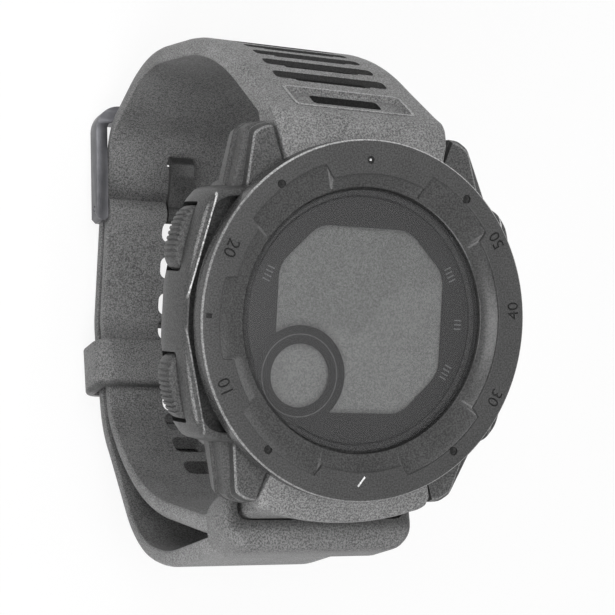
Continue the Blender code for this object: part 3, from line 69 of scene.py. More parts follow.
# Everything is modelled round the dial's centre, level with the bezel's top, and put in place from there
dial = Vector(((lensLow.x + lensHigh.x) / 2, (lensLow.y + lensHigh.y) / 2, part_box("bezel")[1].z))
scene = bpy.context.scene
shop = bpy.data.collections.new("shop")
scene.collection.children.link(shop)


def newObject(name, data):
    obj = bpy.data.objects.new(name, data)
    scene.collection.objects.link(obj)
    return obj


def asTool(obj):
    for user in list(obj.users_collection):
        user.objects.unlink(obj)
    shop.objects.link(obj)
    obj.hide_render = True
    obj.display_type = "WIRE"
    return obj


def boolean(target, other, operation="DIFFERENCE", style=None):
    change = target.modifiers.new(other.name, "BOOLEAN")
    change.object = asTool(other)
    change.operation = operation
    change.solver = "EXACT"
    if style:
        other.data.materials.append(style)
        change.material_mode = "TRANSFER"
    return target


def bevel(obj, width, segments=2, angle=30.0):
    change = obj.modifiers.new("edges", "BEVEL")
    change.width = width
    change.segments = segments
    change.limit_method = "ANGLE"
    change.angle_limit = math.radians(angle)
    change.harden_normals = True
    return obj


def shaded(mesh, sharp):
    mesh.shade_smooth()
    mesh.set_sharp_from_angle(angle=math.radians(sharp))


# Applies the modifiers, drops the tools and shades smooth up to an angle
def baked(obj, sharp=32.0, keep=()):
    graph = bpy.context.evaluated_depsgraph_get()
    mesh = bpy.data.meshes.new_from_object(obj.evaluated_get(graph))
    tools = [change.object for change in obj.modifiers if change.type == "BOOLEAN"]
    obj.modifiers.clear()
    obj.data = mesh
    for other in tools:
        if other not in keep:
            bpy.data.objects.remove(other, do_unlink=True)
    shaded(mesh, sharp)
    return obj


# Moves obj from the origin to the dial's place and files it under a CAD body, for some of its nodes
def piece(obj, body, *nodes):
    obj.location += dial
    bpy.context.view_layer.update()
    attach(obj, body)
    if nodes:
        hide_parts(*nodes)


# Puts obj at a point in mm, turned by angles in degrees
def placed(obj, where, turn=(0, 0, 0)):
    obj.location = Vector(where) * mm
    obj.rotation_euler = [math.radians(angle) for angle in turn]
    return obj


# The rotation whose X, Y and Z axes are the three given vectors
def axes(*columns):
    return Matrix(columns).transposed().to_4x4()


def meshFrom(name, work):
    bmesh.ops.recalc_face_normals(work, faces=work.faces)
    mesh = bpy.data.meshes.new(name)
    work.to_mesh(mesh)
    work.free()
    shaded(mesh, 32.0)
    return newObject(name, mesh)


# The mesh of a curve or text as a solid, with its doubled points joined
def solidOf(name, curve, dist, lift=0.0):
    draft = newObject(name, curve)
    mesh = bpy.data.meshes.new_from_object(draft.evaluated_get(bpy.context.evaluated_depsgraph_get()))
    bpy.data.objects.remove(draft, do_unlink=True)
    work = bmesh.new()
    work.from_mesh(mesh)
    bmesh.ops.remove_doubles(work, verts=work.verts, dist=dist)
    bmesh.ops.translate(work, verts=work.verts, vec=(0, 0, lift))
    return meshFrom(name, work)


# Turns a profile of (radius, height) in mm about Z. profileAt may depend on the angle in degrees
def revolve(name, profileAt, steps=160, closed=True):
    work = bmesh.new()
    rings = []
    for k in range(steps):
        angle = 2 * math.pi * k / steps
        points = profileAt(math.degrees(angle)) if callable(profileAt) else profileAt
        rings.append([
            work.verts.new((r * math.cos(angle) * mm, r * math.sin(angle) * mm, z * mm)) for r, z in points
        ])
    count = len(rings[0])
    for k in range(steps):
        a, b = rings[k], rings[(k + 1) % steps]
        for j in range(count if closed else count - 1):
            i = (j + 1) % count
            work.faces.new((a[j], b[j], b[i], a[i]))
    bmesh.ops.remove_doubles(work, verts=work.verts, dist=1e-7)
    return meshFrom(name, work)


# A plain cylinder on Z
def rod(name, radius, high, low, steps=24):
    return revolve(name, [(0, high), (radius, high), (radius, low), (0, low)], steps, closed=False)


# A flat outline in mm, with any holes as further outlines, between two heights
def slab(name, outlines, low, high):
    curve = bpy.data.curves.new(name, "CURVE")
    curve.dimensions = "2D"
    curve.fill_mode = "BOTH"
    curve.extrude = (high - low) / 2 * mm
    for outline in outlines:
        spline = curve.splines.new("POLY")
        spline.points.add(len(outline) - 1)
        for point, (x, y) in zip(spline.points, outline):
            point.co = (x * mm, y * mm, 0, 1)
        spline.use_cyclic_u = True
    return solidOf(name, curve, 1e-7, (high + low) / 2 * mm)


# A closed solid through sections, each a ring of as many points in mm
def loft(name, sections):
    work = bmesh.new()
    rings = [[work.verts.new(Vector(point) * mm) for point in section] for section in sections]
    count = len(rings[0])
    for a, b in zip(rings, rings[1:]):
        for j in range(count):
            i = (j + 1) % count
            work.faces.new((a[j], a[i], b[i], b[j]))
    work.faces.new(list(reversed(rings[0])))
    work.faces.new(rings[-1])
    return meshFrom(name, work)


# A solid through flat outlines in mm, each with its height
def stack(name, levels):
    return loft(name, [[(x, y, z) for x, y in outline] for z, outline in levels])


def box(name, size):
    x, y, z = (side / 2 for side in size)
    return slab(name, [[(x, y), (-x, y), (-x, -y), (x, -y)]], -z, z)


def roundOutline(halfX, halfY, radius, steps=6):
    outline = []
    for corner, (sx, sy) in enumerate(((1, 1), (-1, 1), (-1, -1), (1, -1))):
        for k in range(steps + 1):
            angle = math.radians(90 * corner + 90 * k / steps)
            outline.append((
                sx * (halfX - radius) + radius * math.cos(angle),
                sy * (halfY - radius) + radius * math.sin(angle),
            ))
    return outline


def mirrored(quarter):
    half = quarter + [(-x, y) for x, y in reversed(quarter)]
    return half + [(-x, -y) for x, y in half]


# Rounds the corners of a closed outline
def softened(outline, radius, steps=5):
    result = []
    count = len(outline)
    for k in range(count):
        before, here, after = (Vector(outline[(k + j) % count]) for j in (-1, 0, 1))
        a, b = (before - here), (after - here)
        reach = min(radius, a.length * 0.49, b.length * 0.49)
        start, end = here + a.normalized() * reach, here + b.normalized() * reach
        for j in range(steps + 1):
            t = j / steps
            result.append(tuple(start * (1 - t) ** 2 + here * 2 * t * (1 - t) + end * t ** 2))
    return result


def lookUp(distance, table):
    for (s0, w0), (s1, w1) in zip(table, table[1:]):
        if distance <= s1:
            t = max(0.0, distance - s0) / (s1 - s0)
            return w0 + (w1 - w0) * t
    return table[-1][1]


# Materials: a thin wrapper makes shader maths read like arithmetic


class Field:
    def __init__(self, graph, socket):
        self.graph = graph
        self.socket = socket

    def do(self, operation, *others):
        node = self.graph.node("ShaderNodeMath", self, *others, operation=operation)
        return Field(self.graph, node.outputs[0])

    def __add__(self, other):
        return self.do("ADD", other)

    def __sub__(self, other):
        return self.do("SUBTRACT", other)

    def __mul__(self, other):
        return self.do("MULTIPLY", other)

    def __rsub__(self, other):
        return (self * -1.0) + other

    __radd__ = __add__
    __rmul__ = __mul__

    # 0 below low, 1 above high, smooth in between
    def between(self, low, high):
        node = self.graph.node("ShaderNodeMapRange", self, low, high, interpolation_type="SMOOTHSTEP")
        return Field(self.graph, node.outputs[0])


# The nodes of a new material, or of the world
class Graph:
    def __init__(self, name, world=None):
        self.owner = world or bpy.data.materials.new(name)
        self.owner.use_nodes = True
        self.tree = self.owner.node_tree
        self.shader = self.tree.nodes["Background" if world else "Principled BSDF"]
        self.place = Field(self, self.node("ShaderNodeTexCoord").outputs["Object"])

    def set(self, socket, value):
        if isinstance(value, Field):
            self.tree.links.new(value.socket, socket)
        elif isinstance(value, tuple) and len(value) == 3 and socket.type == "RGBA":
            socket.default_value = (*value, 1.0)
        else:
            socket.default_value = value

    # Settings go on first, then values or links, in the sockets' order or by their names
    def node(self, kind, *values, **named):
        node = self.tree.nodes.new(kind)
        settings = [key for key in named if hasattr(node, key)]
        for key in settings:
            setattr(node, key, named.pop(key))
        for socket, value in zip(node.inputs, values):
            self.set(socket, value)
        for key, value in named.items():
            self.set(node.inputs[key], value)
        return node

    def noise(self, scale, detail=3.0, rough=0.55, where=None):
        spot = where or self.place
        node = self.node("ShaderNodeTexNoise", Vector=spot, Scale=scale, Detail=detail, Roughness=rough)
        return Field(self, node.outputs["Fac"])

    def cells(self, scale):
        node = self.node("ShaderNodeTexVoronoi", Vector=self.place, Scale=scale)
        return Field(self, node.outputs["Distance"])

    def stretched(self, x, y, z):
        node = self.node("ShaderNodeVectorMath", self.place, (x, y, z), operation="MULTIPLY")
        return Field(self, node.outputs[0])

    # The coordinates on a piece, in metres from the dial's centre or the piece's own
    def split(self):
        node = self.node("ShaderNodeSeparateXYZ", self.place)
        return [Field(self, output) for output in node.outputs]

    # The same, as distances from the middle planes
    def sides(self):
        return [value.do("ABSOLUTE") for value in self.split()]

    def mix(self, factor, first, second):
        node = self.node("ShaderNodeMix", factor, data_type="RGBA")
        colours = [socket for socket in node.inputs if socket.type == "RGBA"]
        self.set(colours[0], first)
        self.set(colours[1], second)
        return Field(self, [socket for socket in node.outputs if socket.type == "RGBA"][0])

    def bump(self, height, strength, distance):
        node = self.node("ShaderNodeBump", Height=height, Strength=strength, Distance=distance)
        return Field(self, node.outputs["Normal"])

    def finish(self, **inputs):
        for key, value in inputs.items():
            self.set(self.shader.inputs[key.replace("_", " ")], value)
        return self.owner


# A linear colour from a display level between 0 and 255
def grey(level, tint=(0.0, 0.0, 0.0)):
    return tuple(max(0.0, ((level + shift) / 255)) ** 2.2 for shift in tint)


# Moulded polymer or silicone: strong fine grain, faint mottling and small scuffs. Each patch is
# (where, level, rough): where(graph) is 1 on an area with a level and a roughness of its own
mouldedLook = {
    "mottleScale": 160.0,
    "grainScale": 4800.0,
    "poreScale": 6500.0,
    "scuffScale": 900.0,
    "scuffTone": 0.25,
    "gloss": 0.27,
    "bumpStrength": 0.35,
    "bumpHeight": 0.00004,
}


def moulded(name, level, rough=0.55, grain=1.0, patches=(), speckle=0.34):
    g, look = Graph(name), mouldedLook
    mottle = g.noise(look["mottleScale"], 4.0)
    fine = g.noise(look["grainScale"], 3.0, 0.65)
    pores = g.cells(look["poreScale"])
    scuffs = g.noise(look["scuffScale"], 5.0, 0.7, g.stretched(1.0, 0.25, 1.0)).between(0.68, 0.8)
    share = fine.between(0.34, 0.66) * 0.85 + mottle.between(0.3, 0.7) * 0.15

    def speckled(tone):
        return g.mix(share, grey(tone * (1 - speckle)), grey(tone * (1 + speckle)))

    colour = speckled(level)
    surface = mottle * 0.12 + (rough - 0.06)
    for where, tone, finish in patches:
        mask = where(g)
        colour = g.mix(mask, colour, speckled(tone))
        surface = surface + mask * (finish - rough)
    return g.finish(
        Base_Color=g.mix(scuffs * look["scuffTone"], colour, grey(level * 1.4)),
        Roughness=surface + scuffs * 0.08,
        Specular_IOR_Level=look["gloss"],
        Normal=g.bump(fine * 0.6 + pores * 0.4, look["bumpStrength"] * grain, look["bumpHeight"]),
    )


# Machined or coated metal with fine tool marks and slight staining
def metal(name, level, rough=0.32, tint=(0, 0, 0)):
    g = Graph(name)
    lines = g.noise(1400.0, 3.0, 0.6, g.stretched(1.0, 14.0, 1.0))
    stain = g.noise(260.0, 4.0)
    colour = g.mix(stain.between(0.35, 0.7), grey(level * 0.9, tint), grey(level * 1.08, tint))
    return g.finish(
        Base_Color=colour,
        Metallic=1.0,
        Roughness=lines * 0.14 + (rough - 0.07) + stain * 0.06,
        Normal=g.bump(lines, 0.25, 0.00002),
    )


def paint(obj, material):
    obj.data.materials.clear()
    obj.data.materials.append(material)
    return obj


# Where the areas with a colour and finish of their own begin and end, in metres; most are painted
# highlights and painted shade
areas = {
    "slopeTop": (-0.00032, -0.00018),
    "rimRadius": (0.02225, 0.02233),
    "rimHeight": (-0.00042, -0.00028),
    "rimTwelve": (-0.02, -0.012),
    "guardLean": 0.248,  # how much a guard's inner edge moves inwards along it
    "guardBend": 0.0024,
    "guardInnerX": 0.02292,
    "guardInnerWidth": (0.00005, 0.00015),
    "guardInnerDepth": (0.0036, 0.004),
    "guardInnerEnd": (0.0015, 0.0025),
    "guardMiddle": (-0.001, 0.001),
    "guardOuterTop": (0.00321, 0.00325),
    "guardOuterFoot": (0.0034, 0.0037),
    "guardOuterX": (0.0234, 0.0236),
    "lugTop": (0.00388, 0.00394),
    "lugTopFoot": (0.00406, 0.00414),
    "lugSteps": (0.00518, 0.00718),
    "lugLine": (0.00004, 0.0001),
    "lugStart": (0.0157, 0.0163),
    "moatX": (0.0232, 0.02335),
    "moatTop": (0.0036, 0.0044),
    "moatFoot": (0.0047, 0.005),
    "strapHalf": (-0.056, -0.026),
    "keeperEnd": (-0.0036, -0.0026),
    "keeperSide": (0.0005, 0.0022),
}


def above(value, edge):
    return value.between(*areas[edge])


def below(value, edge):
    return 1.0 - value.between(*areas[edge])


# The bezel below its label ring, and the thin painted highlight along its outer edge
def onSlope(g):
    return below(g.split()[2], "slopeTop")


def onRimHighlight(g):
    x, y, z = g.split()
    radius = (x * x + y * y).do("SQRT")
    return above(radius, "rimRadius") * above(z, "rimHeight")


# Painted reflection: the rim's highlight made brighter still towards -Y, the 6 o'clock side
def onTopRimReflection(g):
    return onRimHighlight(g) * below(g.split()[1], "rimTwelve")


# Painted highlights: light lines along the guards' straight inner edges, fainter on the +Y half, and
# fainter ones round their tops
def onGuardHighlight(g):
    x, y, z = g.sides()
    across = x + (y - areas["guardBend"]) * areas["guardLean"]
    inner = below((across - areas["guardInnerX"]).do("ABSOLUTE"), "guardInnerWidth")
    inner = inner * below(z, "guardInnerDepth") * above(y, "guardInnerEnd")
    inner = inner * (1.0 - above(g.split()[1], "guardMiddle") * 0.75)
    outer = above(z, "guardOuterTop") * below(z, "guardOuterFoot") * above(across, "guardOuterX")
    return (inner + outer * 0.25).do("MINIMUM", 1.0)


# Painted highlights: thin light lines along the lugs' step edges
def onLugHighlight(g):
    x, y, z = g.sides()
    lines = above(z, "lugTop") * below(z, "lugTopFoot")
    near, far = areas["lugLine"]
    for depth in areas["lugSteps"]:
        end = 1.0 - z.between(depth + near, depth + far)
        lines = lines + z.between(depth - far, depth - near) * end
    return lines * above(y, "lugStart")


# Painted shade: the moat between the bezel and the guards is darker
def moatShade(g):
    x, y, z = g.sides()
    inside = below(x + y * areas["guardLean"], "moatX")
    return above(z, "moatTop") * below(z, "moatFoot") * inside


# Painted shade: the strap is a little darker on its far half, and a keeper beside the strap where it faces
# the case
def farHalfShade(g):
    return below(g.split()[2], "strapHalf")


# Painted shadow: the keeper's end towards the case, under the strap's lip
def keeperEndShade(g):
    x, y, z = g.split()
    return below(z, "keeperEnd") * below(y, "keeperSide")


# Levels are display levels between 0 and 255
# The patches are painted highlights and painted shade, except the bezel's slope, which differs only in
# roughness
bezelParts = ((onSlope, 60, 0.22), (onRimHighlight, 118, 0.35), (onTopRimReflection, 165, 0.3))
bezelStyle = moulded("bezelPolymer", 60, 0.5, patches=bezelParts, speckle=0.26)
caseParts = ((moatShade, 52, 0.5), (onGuardHighlight, 175, 0.35), (onLugHighlight, 106, 0.4))
caseStyle = moulded("casePolymer", 60, 0.42, patches=caseParts)
coverStyle = moulded("coverPolymer", 74, 0.5)
strapStyle = moulded("strapSilicone", 112, 0.6, 1.3, ((farHalfShade, 98, 0.6),))
keeperStyle = moulded("keeperSilicone", 99, 0.58, 1.2, ((keeperEndShade, 66, 0.6),))
buttonStyle = moulded("buttonRubber", 64, 0.5)
sealStyle = moulded("sealRubber", 48, 0.6)
darkStyle = moulded("darkPlastic", 52, 0.45)
shadeStyle = moulded("cutShade", 38, 0.7)
gasketStyle = moulded("gasketRubber", 66, 0.6)
# Painted highlight: the light raised rim round the strap's first recess
rimHighlightStyle = moulded("strapRimHighlight", 138, 0.5)
tangStyle = moulded("tangCoating", 62, 0.4)
buckleStyle = metal("buckleCoating", 95, rough=0.36, tint=(0, 0, 3))
steelStyle = metal("steel", 190, rough=0.3)


# Printed or painted surface with a very fine speckle, and painted light on part of it where sheen is given
def printed(name, level, rough=0.5, tint=(0, 0, 0), sheen=None):
    g = Graph(name)
    speckle = g.noise(5600.0, 2.0)
    cloud = g.noise(120.0, 3.0)
    share = speckle.between(0.34, 0.66) * 0.8 + cloud * 0.2
    if sheen:
        share = share * 0.8 + sheen(g) * 0.2
    colour = g.mix(share, grey(level * 0.8, tint), grey(level * 1.2, tint))
    return g.finish(Base_Color=colour, Roughness=cloud * 0.1 + rough)


# Coated glass: mostly clear, with a thin film that greys what lies below
def glass(name, level, alpha, rough=0.12):
    g = Graph(name)
    film = g.noise(300.0, 4.0)
    return g.finish(
        Base_Color=grey(level, (0, 0, 1)),
        Alpha=film * 0.06 + alpha,
        Roughness=film * 0.1 + rough,
    )


# Painted light: the display is a touch lighter on one side of a wavy slanting line
def litHalf(g):
    x, y, z = g.split()
    wave = g.noise(110.0, 1.0) * 0.012
    return (y - x * 0.35 + wave).between(0.005, 0.0085)


lensStyle = glass("lensGlass", 70, 0.18, 0.3)
maskStyle = printed("displayBorder", 38, 0.6)
tickStyle = printed("borderTicks", 112, 0.5, (0, 1, 2))
inlayPaintAndHighlightStyle = printed("inlayPaintAndHighlight", 205, 0.4)
ringStyle = printed("subWindowRing", 32, 0.55)
lineStyle = printed("subWindowLine", 98, 0.5)
windowStyle = glass("sensorWindow", 26, 0.92, 0.08)
panelStyle = printed("displayPanel", 136, 0.5, (0, 1, 0), litHalf)
boardStyle = printed("boardLaminate", 70, 0.42, (-48, 20, -24))
foilStyle = metal("batteryFoil", 168, rough=0.4)
ceramicStyle = printed("antennaCeramic", 190, 0.5, (6, 0, -18))
filmStyle = printed("switchFilm", 130, 0.4, (34, 0, -60))
meshStyle = metal("portMesh", 150, rough=0.45)
print("materials made")

# Bezel: a label ring whose inner edge steps outwards between the labels, above a sloped ring

bezelShape = {
    "radius": 22.5,
    "height": 2.75,
    "bore": 16.6,
    "wideInner": 18.7,
    "narrowInner": 20.1,
    "lowerInner": 18.15,  # at the middle of the 6 o'clock side
    "step": 0.3,
    "slopeInner": 16.95,
    "slopeDepth": 1.12,
    "narrowSectors": ((34.5, 72.0), (108.0, 145.5), (216.0, 247.6), (289.8, 325.5), (346.5, 376.0)),
    "sectorFlank": 1.2,  # degrees
    "pitAngle": 39.0,
    "pitInset": 1.9,
    "pitRadius": 0.55,
    "figures": (
        (24.5, 20.75, "10"), (337.5, 20.75, "20"), (154.0, 20.7, "30"),
        (186.0, 20.9, "40"), (212.0, 20.9, "50"),
    ),
    "figureSize": 2.3,
    "figureDepth": 0.16,
    "squareSize": (0.75, 0.55, 0.3),
    "squareRadius": 21.55,
    "squareAngle": 0.6,
    "inlayRadius": 19.9,
    "barSize": (0.24, 1.5, 0.12),
    "barPit": (0.27, 1.53, 0.4),
    "barTurn": -38.0,
    "dotSize": (0.24, 0.24, 0.12),
    "dotAngle": 273.0,
    "dotPit": 0.5,
}


def labelInner(angle):
    b = bezelShape
    wide = b["lowerInner"] if 240 < angle % 360 < 300 else b["wideInner"]
    for start, end in b["narrowSectors"]:
        middle, half = (start + end) / 2, (end - start) / 2
        off = abs((angle - middle + 180) % 360 - 180)
        share = min(1.0, max(0.0, (half - off) / b["sectorFlank"] + 0.5))
        if share:
            return wide + (b["narrowInner"] - wide) * share
    return wide


def bezelProfile(angle):
    b = bezelShape
    r, inner, step, foot = b["radius"], labelInner(angle), b["step"], b["height"]
    bore, slope = b["bore"], b["slopeDepth"]
    return [
        (r - 0.42, 0), (r - 0.2, -0.06), (r - 0.06, -0.2), (r, -0.45), (r, 0.2 - foot), (r - 0.2, -foot),
        (bore, -foot), (bore, -slope - 0.12), (bore + 0.12, -slope), (b["slopeInner"], -slope),
        (inner - 0.1, -step - 0.06), (inner, -step), (inner + 0.03, -0.1), (inner + 0.13, 0),
    ]


# Plain sans figures as a solid, centred on its origin
def figure(name, body, size, depth):
    curve = bpy.data.curves.new(name, "FONT")
    curve.body = body
    curve.size = size * mm
    curve.align_x = "CENTER"
    curve.align_y = "CENTER"
    curve.extrude = depth * mm
    curve.resolution_u = 3
    return solidOf(name, curve, 1e-6)


def polar(radius, angle, z=0.0):
    turn = math.radians(angle)
    return Vector((radius * math.cos(turn), radius * math.sin(turn), z))


def makeBezel():
    b = bezelShape
    bezel = paint(revolve("bezel_ring", bezelProfile, 480), bezelStyle)

    def sink(tool, radius, angle, turn=0.0):
        boolean(bezel, placed(tool, polar(radius, angle), (0, 0, turn)), style=shadeStyle)

    pitWall = b["pitRadius"]
    profile = [(pitWall, 0.5), (pitWall, -0.35), (0.28, -0.5), (0, -0.5), (0, 0.5)]
    for k, side in enumerate((1, -1, 1, -1)):
        angle = 90 * (1 if k < 2 else -1) + side * b["pitAngle"]
        sink(revolve("pit%d" % k, profile, 20), b["radius"] - b["pitInset"], angle)
    for angle, radius, body in b["figures"]:
        mark = figure("figure" + body, body, b["figureSize"], b["figureDepth"])
        sink(mark, radius, angle, angle - 90 if angle < 180 else angle + 90)
    sink(box("squareMark", b["squareSize"]), b["squareRadius"], b["squareAngle"])
    sink(rod("dotPit", b["dotPit"], 0.5, -0.22), b["inlayRadius"], b["dotAngle"])
    sink(box("barPit", b["barPit"]), b["inlayRadius"], 90.0, b["barTurn"])
    piece(baked(bezel, 28), "case", "bezel")
    # Light inlays; the bar at 12 o'clock is a real mark whose bright colour is partly a painted highlight
    for name, angle, size, turn, height in (
        ("twelve_inlay", 90.0, b["barSize"], b["barTurn"], -0.08),
        ("six_inlay", b["dotAngle"], b["dotSize"], 0.0, -0.12),
    ):
        inlay = placed(box(name, size), polar(b["inlayRadius"], angle, height), (0, 0, turn))
        piece(paint(inlay, inlayPaintAndHighlightStyle), "case")


makeBezel()
print("bezel made")

# Lens over the display: a dark border, the cut-cornered window and the small round one

displayShape = {
    "lensRadius": 16.3,
    "lensTop": 1.2,
    "lensBottom": 2.4,
    "maskTop": 2.45,
    "maskBottom": 2.6,
    "maskRadius": 15.4,
    "windowSide": 11.6,
    "windowCorner": 5.2,
    "subX": 8.1,
    "subY": 7.1,
    "subInner": 3.95,
    "subLine": 5.1,
    "subOuter": 6.2,
    "subRingTop": 0.03,
    "ticks": ((24.0, 3), (338.0, 4), (154.0, 4), (180.0, 3), (207.0, 4)),  # clock angle, count
    "tickPitch": 0.55,
    "tickHalf": (0.5, 0.09),
    "tickRadius": 14.0,
    "tickHeight": 0.012,
}


def windowOutline(half, corner):
    return softened(mirrored([(half, half - corner), (half - corner, half)]), 1.6, 4)


def circle(radius, steps=96, x=0.0, y=0.0):
    spots = (polar(radius, 360 * k / steps) for k in range(steps))
    return [(x + spot.x, y + spot.y) for spot in spots]


def makeDisplay():
    d = displayShape
    r, top, bottom = d["lensRadius"], -d["lensTop"], -d["lensBottom"]
    profile = [(0, top), (r - 0.3, top), (r - 0.1, top - 0.08), (r, top - 0.25), (r, bottom), (0, bottom)]
    lens = revolve("lens_pane", profile, 160, closed=False)
    piece(paint(lens, lensStyle), "case", "lens")
    mask = slab("display_border", [circle(d["maskRadius"])], -d["maskBottom"], -d["maskTop"])
    window = windowOutline(d["windowSide"], d["windowCorner"])
    small = circle(d["subInner"], 64, d["subX"], d["subY"])
    boolean(mask, slab("windowTool", [window], -5, 0))
    boolean(mask, slab("subTool", [small], -5, 0))
    piece(paint(baked(mask), maskStyle), "case", "display_mask")
    ringTop = d["subRingTop"] - d["maskTop"]
    for name, inner, outer, top, style in (
        ("sub_window_border", d["subInner"] - 0.02, d["subOuter"], ringTop, ringStyle),
        ("sub_window_line", d["subLine"] - 0.07, d["subLine"] + 0.07, ringTop + 0.01, lineStyle),
    ):
        foot = top - 0.02
        band = revolve(name, [(inner, top), (outer, top), (outer, foot), (inner, foot)], 96)
        piece(paint(placed(band, (d["subX"], d["subY"], 0)), style), "case")
    x, y = d["tickHalf"]
    for k, (angle, count) in enumerate(d["ticks"]):
        marks = [(j - (count - 1) / 2) * d["tickPitch"] for j in range(count)]
        outlines = [[(x, m + y), (-x, m + y), (-x, m - y), (x, m - y)] for m in marks]
        ticks = slab("border_ticks_%d" % (k + 1), outlines, -0.01, 0.01)
        placed(ticks, polar(d["tickRadius"], angle, d["tickHeight"] - d["maskTop"]), (0, 0, angle))
        piece(paint(ticks, tickStyle), "case")


makeDisplay()
print("display made")

# Middle case: guards at 3 and 9 o'clock, a moat round the bezel and four stepped lugs

caseShape = {
    "guardX": 23.6,
    "guardY": 15.9,
    "guardTop": 3.2,
    "slope": 0.5,
    "depth": 11.2,
    "moatFloor": 4.7,
    "moatX": 22.75,
    "coreRadius": 21.6,
    "coreTop": 2.8,
    "cavityRadius": 17.8,
    "flangeBore": 15.55,
    "flangeBottom": 3.8,
    "rebateRadius": 18.6,
    "rebate": 0.5,
    "pocketY": 19.0,
    "pocketX": 11.2,
    "pocketFlare": 1.6 / 4.3,
    "pocketReach": 8.3,
    "barY": 21.5,
    "barDepth": 6.7,
    "barRadius": 0.9,
    "barReach": 13.85,
    "lugTips": {1: 23.2, -1: 23.9},
    # Depth, half width at the right guard, at the left one and at the tip, and how far the tip stands back
    "lugSteps": (
        (3.9, 15.65, 17.25, 14.95, 0.7), (4.05, 15.9, 17.5, 15.2, 0.5), (5.2, 16.0, 17.7, 15.4, 0.1),
        (5.3, 15.7, 17.4, 15.1, 0.1), (5.42, 16.9, 19.1, 15.75, 0.0), (5.55, 17.2, 19.4, 15.9, 0.0),
        (7.2, 17.3, 19.6, 16.0, 0.0), (7.32, 17.0, 19.3, 15.7, 0.0), (7.42, 17.6, 20.3, 16.3, 0.0),
        (7.55, 17.7, 20.5, 16.4, 0.0), (8.9, 17.8, 20.4, 16.3, 0.3), (10.4, 17.2, 19.4, 15.4, 1.8),
    ),
    "screwAt": 14.7,
    "screwBore": 0.75,
    "screwTip": 7.8,
}
buttonAngles = {"gps": 22.0, "set": -22.0, "light": 152.0, "menu": 180.0, "back": 208.0}
buttonShape = {
    "depth": 8.2,
    "length": 8.2,
    "endDrop": 1.3,
    "turn": 0.36,
    "height": 3.6,
    "thickness": 2.3,
    "reach": 25.5,
    "ridgePitch": 0.65,
    "ridgeDepth": 0.2,
    "pocketFloor": 22.45,
    "pocketLength": 8.8,
    "pocketHeight": 4.6,
    "shaftRadius": 0.8,
    "shaftTip": 16.85,
    "boreRadius": 0.9,
    "boreTip": 16.8,
    "seatRadius": 1.4,
    "seatInner": 18.85,
}


def guardOutline(inset):
    c = caseShape
    wide, end = c["guardX"] - inset, c["guardY"] - inset
    quarter = [
        (wide, 3.4), (wide - 0.85, end * 0.55), (wide - 1.95, end * 0.84),
        (wide - 3.5, end * 0.965), (wide - 6.2, end), (wide - 9.8, end + 0.3),
    ]
    return softened(mirrored(quarter), 0.9, 4)


def pocketSide(y):
    c = caseShape
    return c["pocketX"] + c["pocketFlare"] * (y - c["pocketY"])


def lug(sx, sy):
    c = caseShape
    tip = c["lugTips"][sy]
    root = c["pocketX"] - 1.0
    levels = []
    for depth, rightX, leftX, tipX, back in c["lugSteps"]:
        end = tip - back
        outline = [
            (root, 14.0), (rightX if sx > 0 else leftX, 15.2), (tipX, end - 1.0),
            (tipX - 1.5, end - 0.1), (pocketSide(tip) - 1.0, end), (root, c["pocketY"]),
        ]
        levels.append((-depth, [(sx * x, sy * y) for x, y in softened(outline, 0.5, 2)]))
    return stack("lug%d%d" % (sx, sy), levels)


# Turns a piece modelled about Z so that its axis points out of the case at a clock angle
def alongRadius(obj, angle):
    return placed(obj, (0, 0, -buttonShape["depth"]), (0, 90, angle))


# Where a cap's outer face stands and the way it faces, which is more to the side than its shaft
def facet(angle):
    s = buttonShape
    side = 180 if 90 < angle < 270 else 0
    return polar(s["reach"], angle, -s["depth"]), side + (angle - side) * (1 - s["turn"])


